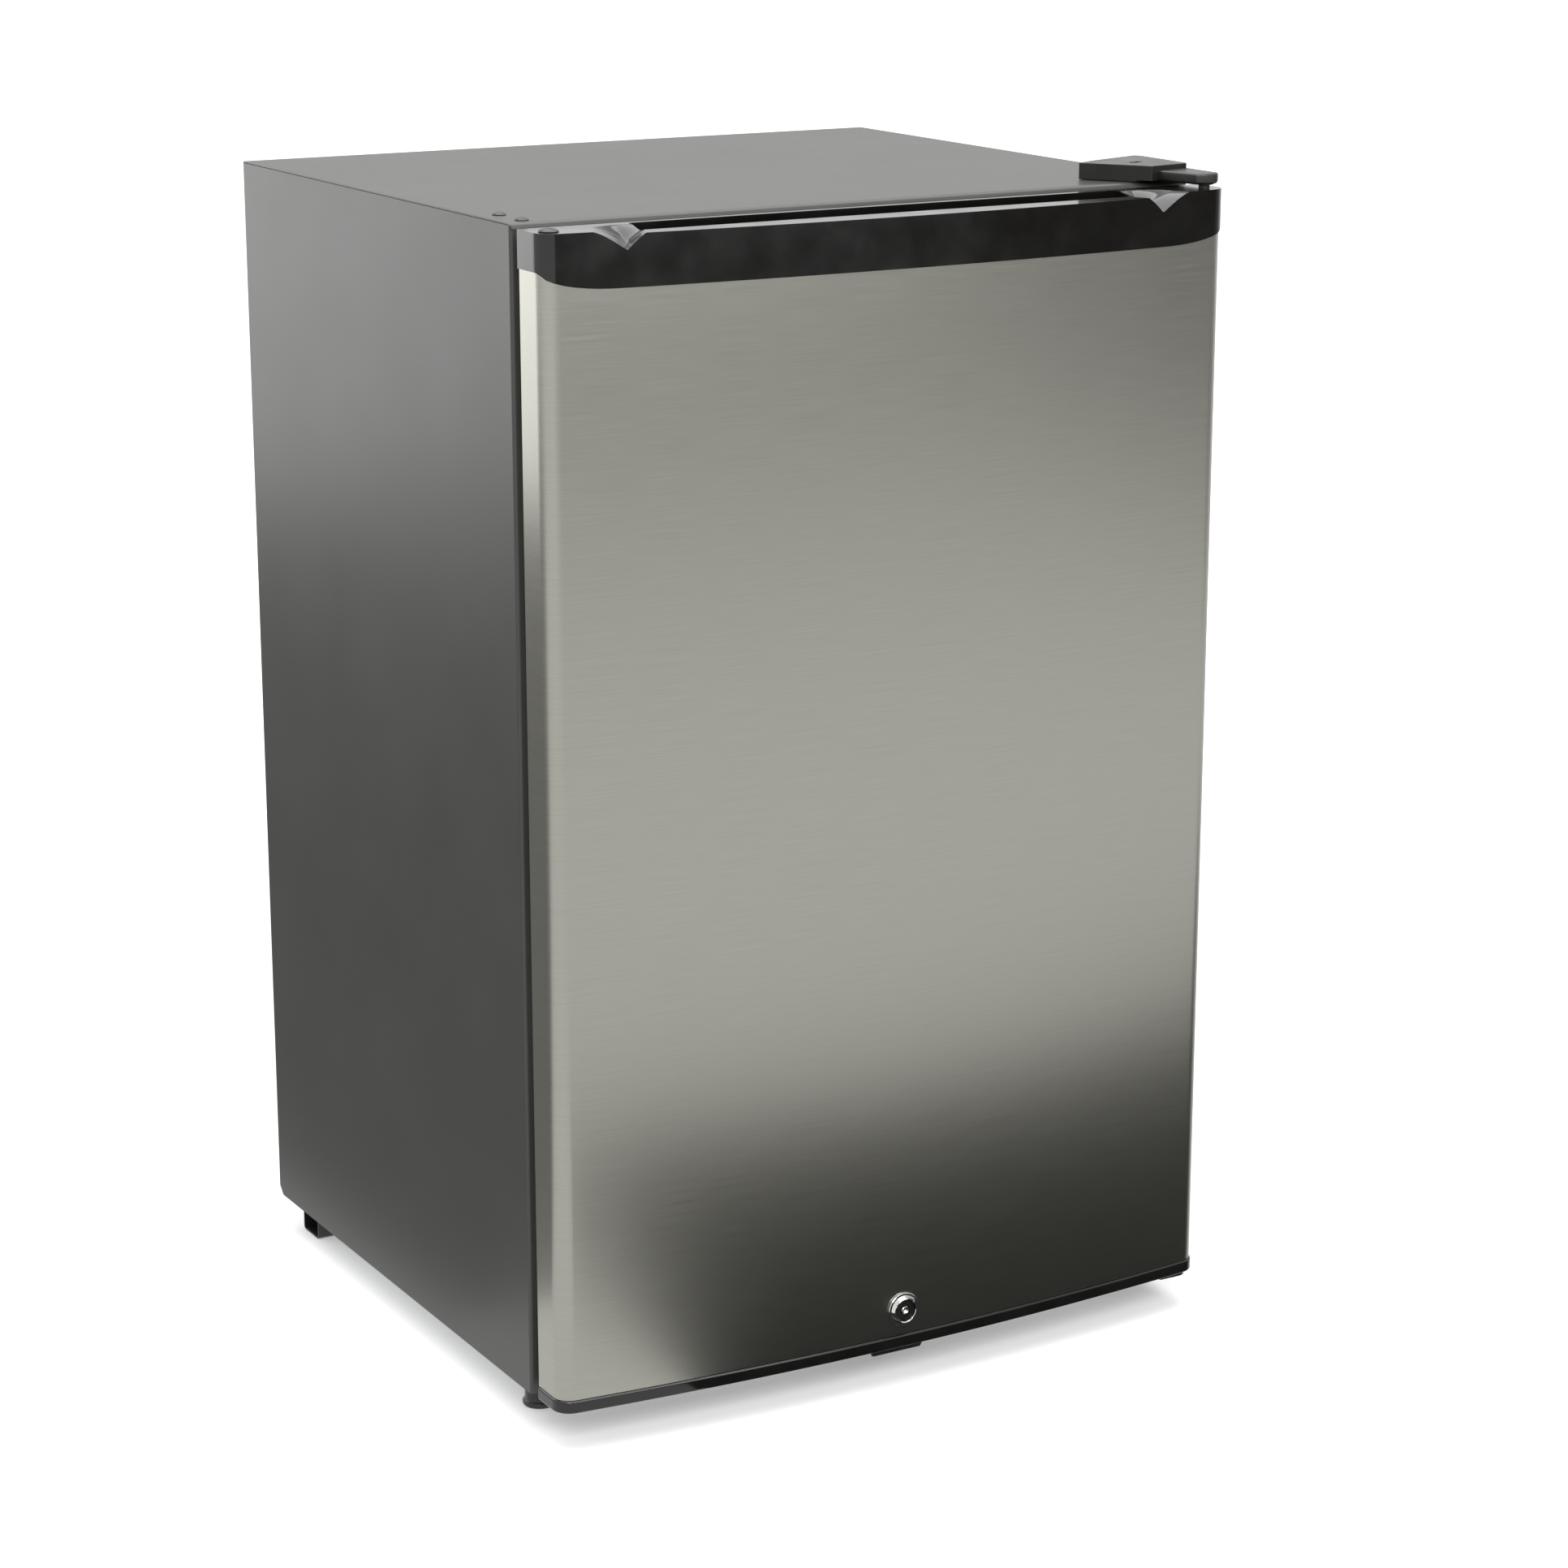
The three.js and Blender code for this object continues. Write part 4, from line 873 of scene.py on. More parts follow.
class FRIDGE_OT_door(bpy.types.Operator):
    """Door: bowed brushed skin, glossy handle cap with its finger channel and scoops, bottom trim"""

    bl_idname = "fridge.door"
    bl_label = "Door skin, cap and trim"

    def execute(self, context):
        sheet, fold = MM, 9 * MM
        outer = door_outline(0, DOOR_BACK)
        inner = door_outline(-sheet, DOOR_BACK - sheet)
        outline = [
            *outer,
            (-HALF + fold, DOOR_BACK),
            (-HALF + fold, DOOR_BACK - sheet),
            *reversed(inner),
            (HALF - fold, DOOR_BACK - sheet),
            (HALF - fold, DOOR_BACK),
        ]
        lock = centre_of("lock_ring")
        skin = plate(outline, SKIN_LOW.z, SKIN_HIGH.z, "stainless_door_skin")
        hole = rod("hole_tool", (lock.x, DOOR_CROWN, lock.z), 9.8 * MM, 20 * MM, "Y")
        without(skin, cap_edge(-FIT, True), hole)
        placed(skin, "door_skin", "stainless_steel")

        proud = CAP_HIGH.x - HALF
        cap = plate(door_outline(proud, DOOR_BACK), CAP_LOW.z - 4 * MM, CAP_HIGH.z, "handle_cap")
        half = HALF - 50 * MM
        back_wall, lip_back = DOOR_BACK - 5 * MM, DOOR_BACK - 26 * MM
        deep = half - 22 * MM
        low, high = (-deep, lip_back, CAP_HIGH.z - 27 * MM), (deep, back_wall, CAP_HIGH.z + 10 * MM)
        channel = block("channel_tool", low, high)
        eased(channel, 3 * MM, 60, 4)
        low = (-half, DOOR_CROWN - 8 * MM, CAP_HIGH.z - 2 * MM)
        high = (half, lip_back + MM, CAP_HIGH.z + 9 * MM)
        lip = block("lip_tool", low, high)
        without(cap, cap_edge(0, False), lip, channel, scoop_tool(-1), scoop_tool(1))
        for side in (-1, 1):
            without(cap, rod("hole_tool", (side * PIN_X, PIN_Y, CAP_HIGH.z), 4 * MM, 30 * MM, sides=32))
        eased(cap, 0.7 * MM, 38, 3)
        placed(cap, "door_top_cap", "gloss_black", smooth=40)

        trim = plate(door_outline(proud, DOOR_BACK), TRIM_LOW.z, TRIM_HIGH.z, "bottom_trim")
        eased(trim, sizes().trim_edge, 60, 4)
        wall = 2.5 * MM
        inner = door_outline(-wall, DOOR_BACK - wall)
        well = plate(inner, TRIM_LOW.z + wall, TRIM_HIGH.z + 9 * MM, "well_tool")
        tongue_low, tongue_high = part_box("lock_tongue")
        slot = block(
            "slot_tool",
            (-12 * MM, tongue_low.y - 3 * MM, TRIM_LOW.z - MM),
            (33 * MM, tongue_high.y + 3 * MM, TRIM_HIGH.z + MM),
        )
        without(trim, well, slot, rod("hole_tool", (PIN_X, PIN_Y, TRIM_LOW.z), 4 * MM, 20 * MM, sides=32))
        placed(trim, "door_bottom_trim", "gloss_black")

        plug = centre_of("cap_hole_plug")
        head = [(0, -6), (-3.7, -6), (-3.7, 0.3), (-6.5, 0.3), (-6.5, 0.5), (-6.1, 0.85)]
        head += [(-5.2, 1.35), (-4, 1.8), (-2.6, 2.2), (-1.2, 2.43), (0, 2.5)]
        piece = turned("cap_plug", stepped(0, 0, head), (plug.x, plug.y, CAP_HIGH.z), steps=40)
        placed(piece, "cap_hole_plug", "satin_black", smooth=45)
        return {"FINISHED"}


class FRIDGE_OT_door_inside(bpy.types.Operator):
    """Inside of the door: bellows gasket, formed liner with its ridge, and three clear bins"""

    bl_idname = "fridge.door_inside"
    bl_label = "Gasket, door liner and bins"

    def execute(self, context):
        low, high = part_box("door_gasket")
        depth = high.y - low.y
        layers = [(12, 0, 0, 0.3), (5, 3, 0.26, 0.52), (7, 2, 0.48, 0.66), (12, 0, 0.62, 1)]
        rings = []
        for width, shrink, start, end in layers:
            rings.append(
                frame_ring(
                    "seal_ring",
                    high.x - shrink * MM,
                    low.z + shrink * MM,
                    high.z - shrink * MM,
                    width * MM,
                    low.y + depth * start,
                    low.y + depth * end,
                )
            )
        seal = fused(*rings)
        seal.name = "bellows_gasket"
        eased(seal, 0.6 * MM, 60, 2)
        placed(seal, "door_gasket", "gasket")

        low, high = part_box("door_liner")
        back = low.y + 2 * MM
        sheet = block("door_inner_liner", low, (high.x, back, high.z))
        bins = [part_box(f"door_bin_{place}") for place in ("lower", "middle", "upper")]
        ridge_half = bins[0][1].x + 12.5 * MM
        cover_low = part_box("crisper_drawer")[0].z - FIT + 11 * MM
        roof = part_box("thermostat_housing")[1].z + FIT - 9 * MM
        ridge = frame_ring("ridge", ridge_half, cover_low, roof, 12 * MM, low.y + MM, high.y)
        fused(sheet, ridge)
        eased(sheet, 3.2 * MM, 60, 4)
        ledges = []
        for bin_low, _ in bins:
            ends = (low.y + 2 * MM, bin_low.z - 6 * MM), (high.y - 3 * MM, bin_low.z - FIT)
            pair = both_sides("ledge", ridge_half - 18 * MM, ridge_half - 11 * MM, *ends)
            ledges += [eased(ledge, 1.2 * MM, 60, 3) for ledge in pair]
        gathered(sheet, *ledges)
        placed(sheet, "door_liner", "white_liner")

        wall, lean = 2.5 * MM, 5 * MM
        for place, (low, high) in zip(("lower", "middle", "upper"), bins):
            outline = [(low.y, low.z), (high.y - lean, low.z), (high.y, high.z), (low.y, high.z)]
            tray = section(outline, low.x, high.x, f"{place}_bin")
            hollowed(tray, 5 * MM, wall, low.z + wall)
            shaping(tray)
            chosen(tray, verts=lambda v: abs(v.co.z - low.z - wall) < 0.1 * MM and v.co.y > high.y - 20 * MM)
            bpy.ops.transform.translate(value=(0, -lean, 0))
            only(tray)
            rim = frame_of_tray(low, high, wall)
            gathered(tray, rim)
            eased(tray, 0.5 * MM, 50, 2)
            placed(tray, f"door_bin_{place}", "clear_plastic")
        return {"FINISHED"}


def frame_of_tray(low, high, wall):
    """A raised bead round the outside of a bin's front, just under its edge."""
    inset, rise = 5 * MM, 9 * MM
    path = [
        (low.x + 0.2 * MM, low.y + 9 * MM, high.z - rise),
        (low.x + 0.2 * MM, high.y - inset - 0.6 * MM, high.z - rise),
        (high.x - 0.2 * MM, high.y - inset - 0.6 * MM, high.z - rise),
        (high.x - 0.2 * MM, low.y + 9 * MM, high.z - rise),
    ]
    return tube("bead", filleted(path, 5 * MM), 0.35 * MM, 2)


# ---------------------------------------------------------------- lock and hinges


class FRIDGE_OT_lock(bpy.types.Operator):
    """Lock: bevelled chrome ring, black barrel with its chrome key post, bracket for its tongue"""

    bl_idname = "fridge.lock"
    bl_label = "Lock"

    def execute(self, context):
        centre = centre_of("lock_ring")
        radius = (RING_HIGH.x - RING_LOW.x) / 2
        face, front = DOOR_CROWN - FIT, RING_LOW.y
        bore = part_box("lock_barrel")[1].x + FIT
        inner_end = DOOR_CROWN + 15 * MM
        ring = [
            *stepped(radius, face, [(0.2, 0), (0, -0.3), (0, -0.8), (0.3, -1.1), (1.5, -1.15), (1.8, -1.3)]),
            *stepped(bore, front, [(-1.1, 0.15), (-0.7, 0), (-0.25, 0.1), (0, 0.4)]),
            (bore, inner_end),
            (9.4 * MM, inner_end),
            (9.4 * MM, face),
            (radius - 0.2 * MM, face),
        ]
        piece = turned("lock_bezel", ring, (centre.x, 0, centre.z), "Y", 72)
        placed(piece, "lock_ring", "chrome", smooth=25)

        low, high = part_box("lock_barrel")
        barrel = bore - FIT
        tongue_low, tongue_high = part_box("lock_tongue")
        body = [
            *stepped(0, face, [(0, -1), (-3.4, -1), (-3.7, -2.2)]),
            *stepped(barrel, face, [(0.5, -2.2), (0, -1.8)]),
            (barrel, tongue_low.y - FIT),
            (3.5 * MM, tongue_low.y - FIT),
            (3.5 * MM, high.y),
            (0, high.y),
        ]
        piece = turned("lock_cylinder", body, (centre.x, 0, centre.z), "Y", 56)
        placed(piece, "lock_barrel", "satin_black", smooth=25)
        post = [
            *stepped(0, face, [(0, -1.4), (-1.7, -1.4)]),
            *stepped(0, front, [(-1.7, 0.9), (-2, 0.6), (-2.7, 0.6), (-3, 0.9)]),
            *stepped(0, face, [(-3, -1), (0, -1)]),
        ]
        piece = turned("lock_key_post", post, (centre.x, 0, centre.z), "Y", 40)
        placed(piece, "lock_barrel", "chrome", smooth=25, body="lock")

        kept("lock_tongue", "zinc_steel")

        low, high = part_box("lock_strike_bracket")
        lip_half, thick = 22 * MM, 2 * MM
        base = [
            (-30 * MM, high.y),
            (30 * MM, high.y),
            (30 * MM, FACE_Y),
            (lip_half, low.y),
            (-lip_half, low.y),
            (-30 * MM, FACE_Y),
        ]
        strike = plate(base, high.z - thick, high.z, "strike_bracket")
        lip = facing(
            [(-lip_half, high.z), (lip_half, high.z), (lip_half - 3 * MM, low.z), (3 * MM - lip_half, low.z)],
            low.y,
            low.y + thick,
            "strike_lip",
        )
        fused(strike, lip)
        slot = block(
            "slot_tool",
            (-9 * MM, tongue_low.y - 3 * MM, low.z - MM),
            (lip_half, tongue_high.y + 3 * MM, high.z + MM),
        )
        without(strike, slot)
        eased(strike, 0.7 * MM, 50, 3)
        placed(strike, "lock_strike_bracket", "black_steel")
        return {"FINISHED"}


class FRIDGE_OT_hinges(bpy.types.Operator):
    """Hinges: plates with their pins, the plastic cover, screws, washer and the spare holes' plugs"""

    bl_idname = "fridge.hinges"
    bl_label = "Hinges and plugs"

    def execute(self, context):
        low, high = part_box("top_hinge_plate")
        screws = [centre_of("top_hinge_screw_1"), centre_of("top_hinge_screw_2")]
        screw_x = screws[0].x
        plate_low = high.z - 3 * MM
        outline = [
            (screw_x - 26 * MM, screws[0].y + 8 * MM),
            (screw_x - 26 * MM, screws[1].y - 4 * MM),
            (screw_x + 8 * MM, screws[1].y + 6 * MM),
            *arc((PIN_X, PIN_Y), 6.5 * MM, 0, -180, 12),
            (screw_x - 12 * MM, FACE_Y - 2 * MM),
        ]
        arm = plate(outline, plate_low, high.z, "hinge_plate")
        for place in screws:
            without(arm, rod("hole_tool", (place.x, place.y, high.z), 2.3 * MM, 12 * MM, sides=24))
        eased(arm, 0.4 * MM, 60, 2)
        pin_low = low.z
        pin = [
            (0, pin_low),
            (2.9 * MM, pin_low),
            (3.7 * MM, pin_low + 0.9 * MM),
            (3.7 * MM, plate_low - 0.6 * MM),
            (4.6 * MM, plate_low - 0.1 * MM),
            (4.6 * MM, plate_low + 0.5 * MM),
            (0, plate_low + 0.5 * MM),
        ]
        gathered(arm, turned("pin", pin, (PIN_X, PIN_Y, 0), steps=40))
        placed(arm, "top_hinge_plate", "black_steel")

        low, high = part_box("top_hinge_cover")
        body_top, body_low = high.z, low.z
        body = [
            (HALF - 66 * MM, FACE_Y + 34 * MM),
            (HALF - 36 * MM, FACE_Y - 9 * MM),
            (HALF - 4 * MM, FACE_Y - 4 * MM),
            (HALF - 2.5 * MM, FACE_Y),
            (HALF - 2.5 * MM, FACE_Y + 52 * MM),
            (HALF - 6 * MM, FACE_Y + 56 * MM),
            (HALF - 49 * MM, FACE_Y + 42 * MM),
        ]
        hood = plate(body, body_low, body_top, "hinge_cover")
        arm_low, arm_top = CABINET_TOP + 1.2 * MM, body_top - 3.3 * MM
        tip = [
            (HALF - 34 * MM, FACE_Y + 4 * MM),
            (HALF - 21 * MM, PIN_Y - 6 * MM),
            (HALF - 15 * MM, PIN_Y - 9 * MM),
            (HALF - 6 * MM, PIN_Y - 9 * MM),
            (HALF - 1.5 * MM, PIN_Y - 4 * MM),
            (HALF - 2.5 * MM, FACE_Y + 4 * MM),
        ]
        notch = block("notch_tool", (0, FACE_Y - 20 * MM, body_low - MM), (HALF, FACE_Y, arm_low))
        without(hood, notch)
        eased(hood, 2.2 * MM, 50, 3)
        reach = plate(tip, arm_low, arm_top, "arm")
        eased(reach, 1.6 * MM, 50, 3)
        fused(hood, reach)
        cavity = plate(shrunk(body, 0.88), body_low - 4 * MM, body_top - 1.8 * MM, "cavity_tool")
        room = plate(shrunk(tip, 0.82), body_low - 4 * MM, arm_top - 1.8 * MM, "room_tool")
        without(hood, cavity, room)
        hole = Vector((HALF - 33 * MM, FACE_Y + 17 * MM, body_top))
        for shift, radius in ((0, 3.1 * MM), (4.8 * MM, 2.4 * MM)):
            without(hood, rod("hole_tool", hole + Vector((shift, shift * 0.2, 0)), radius, 8 * MM, sides=32))
        placed(hood, "top_hinge_cover", "satin_black")

        head = [(0, 0), (-1.6, -0.1), (-3.1, -0.5), (-4, -1.2), (-4, -1.5), (-2, -1.6)]
        head += [(-2, -16.6), (-1.4, -17), (0, -17)]
        for i, place in enumerate(screws, 1):
            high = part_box(f"top_hinge_screw_{i}")[1]
            screw = turned(f"hinge_screw_{i}", stepped(0, 0, head), (place.x, place.y, high.z), steps=32)
            for wide, deep in ((2.1 * MM, 0.45 * MM), (0.45 * MM, 2.1 * MM)):
                cross = block(
                    "cross_tool",
                    (place.x - wide, place.y - deep, high.z - 0.9 * MM),
                    (place.x + wide, place.y + deep, high.z + MM),
                )
                without(screw, cross)
            placed(screw, f"top_hinge_screw_{i}", "zinc_steel")

        low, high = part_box("lower_hinge_bracket")
        top = CABINET_BOTTOM - FIT
        outline = [
            (HALF - 46 * MM, FACE_Y + 2 * MM),
            (HALF - 46 * MM, FACE_Y + 58 * MM),
            (HALF - 3 * MM, FACE_Y + 58 * MM),
            (HALF - 3 * MM, FACE_Y - 10 * MM),
            *arc((PIN_X, PIN_Y), 7 * MM, 0, -90, 6),
            (HALF - 26 * MM, PIN_Y - 7 * MM),
            (HALF - 34 * MM, PIN_Y + 4 * MM),
        ]
        foot = centre_of("levelling_foot_right")
        bracket = plate(outline, low.z, top, "lower_hinge_plate")
        without(bracket, rod("hole_tool", (foot.x, foot.y, top), 5 * MM, 12 * MM, sides=32))
        eased(bracket, 0.5 * MM, 60, 2)
        pin = stepped(0, top, [(0, -1), (-3.7, -1)]) + stepped(0, high.z, [(-3.7, -0.9), (-2.9, 0), (0, 0)])
        rivet = stepped(0, low.z, [(0, -0.2), (-3, -0.2), (-3.6, 0.4), (0, 0.4)])
        gathered(
            bracket,
            turned("pin", pin, (PIN_X, PIN_Y, 0), steps=40),
            turned("rivet", rivet, (PIN_X, PIN_Y, 0), steps=40),
        )
        placed(bracket, "lower_hinge_bracket", "black_steel")

        low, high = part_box("lower_hinge_washer")
        outer = (high.x - low.x) / 2
        ring = [
            (4 * MM, low.z),
            (outer - 0.3 * MM, low.z),
            (outer, low.z + 0.3 * MM),
            (outer, high.z - 0.3 * MM),
            (outer - 0.3 * MM, high.z),
            (4 * MM, high.z),
            (4 * MM, low.z),
        ]
        placed(
            turned("nylon_washer", ring, (PIN_X, PIN_Y, 0), steps=48), "lower_hinge_washer", "white_liner",
        )

        dome = [(0, -5), (-2.2, -5), (-2.2, 0.3), (-4.6, 0.3), (-4.6, 0.45), (-4.2, 0.8), (-3.5, 1.2)]
        dome += [(-2.6, 1.6), (-1.5, 1.92), (-0.7, 2.06), (0, 2.1)]
        for i in (1, 2):
            place = centre_of(f"spare_hole_plug_{i}")
            plug = turned(f"spare_plug_{i}", stepped(0, 0, dome), (place.x, place.y, CABINET_TOP), steps=36)
            placed(plug, f"spare_hole_plug_{i}", "satin_black", smooth=45)
        return {"FINISHED"}


# ---------------------------------------------------------------- inside the compartment


class FRIDGE_OT_liner(bpy.types.Operator):
    """White liner: a stepped, round-cornered tray with a lip and shelf ledges"""

    bl_idname = "fridge.liner"
    bl_label = "Liner"

    def execute(self, context):
        skin = 2 * MM
        low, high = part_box("inner_liner")
        room_half = high.x - 9.7 * MM  # the lip reaches past the room's wall
        floor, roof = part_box("crisper_drawer")[0].z - FIT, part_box("thermostat_housing")[1].z + FIT
        back = high.y - skin
        step_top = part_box("crisper_cover_glass")[0].z - FIT
        step_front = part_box("crisper_drawer")[1].y + 4 * MM
        radius = sizes().liner_corner

        def room(grow, front):
            return [
                (front, floor - grow),
                (step_front + grow, floor - grow),
                (step_front + grow, step_top - grow),
                (back + grow, step_top - grow),
                (back + grow, roof + grow),
                (front, roof + grow),
            ]

        shell = section(room(skin, FACE_Y), -room_half - skin, room_half + skin, "liner")
        lip = block("lip", low, (high.x, FACE_Y + skin, high.z))
        fused(shell, lip)
        cavity = section(room(0, FACE_Y - 40 * MM), -room_half, room_half, "cavity_tool")
        near = 0.1 * MM
        front_end = FACE_Y - 30 * MM

        def soft_edge(edge):
            a, b = (v.co for v in edge.verts)
            middle = (a + b) / 2
            corner = abs(a.z - b.z) > near and middle.y > front_end and abs(abs(a.x) - room_half) < near
            level = abs(a.z - b.z) < near and (abs(middle.z - roof) < near or abs(middle.z - floor) < near)
            return corner or (level and middle.y > front_end - 12 * MM)

        rounded(cavity, soft_edge, radius, 5)
        drain = centre_of("drain_tube")
        hole = rod("hole_tool", (drain.x, drain.y, step_top), 6 * MM, 20 * MM, sides=32)
        without(shell, cavity, hole)
        ribs = []
        levels = [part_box(name)[0].z - FIT for name in ("shelf_upper_glass", "shelf_lower_glass")]
        pitch = (levels[0] - levels[1]) / 2
        tops = [step_top] + [levels[1] + pitch * i for i in (-1, 0, 1, 2, 3)]
        for top in tops:
            end = back if top > step_top else step_front
            ends = (FACE_Y + 118 * MM, top - 4 * MM), (end + MM, top)
            pair = both_sides("rib", room_half - 6 * MM, room_half + MM, *ends)
            ribs += [eased(rib, 1.2 * MM, 60, 3) for rib in pair]
        gathered(shell, *ribs)
        placed(shell, "inner_liner", "white_liner", smooth=40)
        return {"FINISHED"}


class FRIDGE_OT_shelves(bpy.types.Operator):
    """Glass shelves with their white front trims, and the clear crisper drawer"""

    bl_idname = "fridge.shelves"
    bl_label = "Shelves and crisper"

    def execute(self, context):
        for name in ("shelf_upper", "shelf_lower", "crisper_cover"):
            low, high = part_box(f"{name}_glass")
            glass = block(f"{name}_pane", low, high)
            rear = high.y - MM
            rounded(glass, lambda e: upright(e) and e.verts[0].co.y > rear, 12 * MM, 8)
            eased(glass, 0.5 * MM, 60, 2)
            placed(glass, f"{name}_glass", "shelf_glass")

            slot_low, slot_high = low.z - FIT, high.z + FIT
            low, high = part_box(f"{name}_trim")
            wall = 2.4 * MM
            profile = [
                (low.y, low.z),
                (high.y, low.z),
                (high.y, slot_low),
                (low.y + wall, slot_low),
                (low.y + wall, slot_high),
                (high.y, slot_high),
                (high.y, high.z),
                (low.y, high.z),
            ]
            trim = section(profile, low.x, high.x, f"{name}_edge_trim")
            eased(trim, 0.9 * MM, 60, 3)
            placed(trim, f"{name}_trim", "white_liner")

        low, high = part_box("crisper_drawer")
        wall, grip, drop = 2.5 * MM, 11 * MM, 16 * MM
        front = low.y + grip
        tray = block("crisper", (low.x, front, low.z), high)
        hollowed(tray, 6 * MM, wall, low.z + wall)
        handle = section(
            [
                (front + MM, high.z),
                (low.y, high.z),
                (low.y, high.z - drop),
                (low.y + wall, high.z - drop),
                (low.y + wall, high.z - wall),
                (front + MM, high.z - wall),
            ],
            low.x + 5 * MM,
            high.x - 5 * MM,
            "crisper_grip",
        )
        fused(tray, handle)
        eased(tray, 0.6 * MM, 50, 2)
        placed(tray, "crisper_drawer", "clear_plastic")
        return {"FINISHED"}


class FRIDGE_OT_controls(bpy.types.Operator):
    """Thermostat housing with its knob, ribbed lamp cover, and the door switch"""

    bl_idname = "fridge.controls"
    bl_label = "Thermostat, lamp and switch"

    def execute(self, context):
        low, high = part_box("thermostat_housing")
        profile = [
            (low.y, high.z),
            (high.y, high.z),
            (high.y, low.z + 12 * MM),
            (high.y - 20 * MM, low.z),
            (low.y, low.z),
        ]
        housing = section(profile, low.x, high.x, "thermostat_case")
        eased(housing, 2.2 * MM, 40, 4)
        axis = centre_of("thermostat_knob")
        seat = rod("seat_tool", (axis.x, low.y, axis.z), 15.6 * MM, 1.2 * MM, "Y", 64)
        without(housing, seat)
        eased(housing, 0.3 * MM, 60, 2)
        placed(housing, "thermostat_housing", "white_liner")

        low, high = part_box("thermostat_knob")
        radius = (high.x - low.x) / 2
        rear = high.y
        dial = [
            (0, rear),
            *stepped(radius, rear, [(0.3, 0), (0, -0.3), (0, -7), (0.4, -8.6), (1.6, -9.7), (2.4, -10)]),
            (0, rear - 10 * MM),
        ]
        knob = turned("thermostat_dial", dial, (axis.x, 0, axis.z), "Y", 64)
        bar = block(
            "bar",
            (axis.x - 2 * MM, low.y, axis.z - radius + 3 * MM),
            (axis.x + 2 * MM, rear - 9 * MM, axis.z + radius - 3 * MM),
        )
        eased(bar, 0.8 * MM, 60, 3)
        gathered(knob, bar)
        placed(knob, "thermostat_knob", "white_liner")

        low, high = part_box("lamp_cover")
        lens = block("lamp_lens", low, high)
        hollowed(lens, 3 * MM, 1.6 * MM, low.z + 1.6 * MM)
        ribs = []
        for i in range(14):
            x = low.x + (8 + i * 5) * MM
            ribs.append(
                tube(
                    "lens_rib",
                    [(x, low.y + 6 * MM, low.z + 1.4 * MM), (x, high.y - 6 * MM, low.z + 1.4 * MM)],
                    MM,
                    3,
                )
            )
        gathered(lens, *ribs)
        placed(lens, "lamp_cover", "clear_plastic")

        low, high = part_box("door_switch_body")
        plunger_low, plunger_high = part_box("door_switch_plunger")
        body = block("switch_body", low, high)
        gap = 0.5 * MM
        slot = block(
            "slot_tool",
            (plunger_low.x - gap, low.y - MM, plunger_low.z - gap),
            (plunger_high.x + gap, plunger_high.y + 4 * MM, plunger_high.z + gap),
        )
        without(body, slot)
        eased(body, 0.6 * MM, 60, 2)
        placed(body, "door_switch_body", "white_liner")
        plunger = block("switch_plunger_tip", plunger_low, plunger_high)
        eased(plunger, 0.9 * MM, 60, 3)
        placed(plunger, "door_switch_plunger", "white_liner")
        return {"FINISHED"}


# ---------------------------------------------------------------- cooling machine


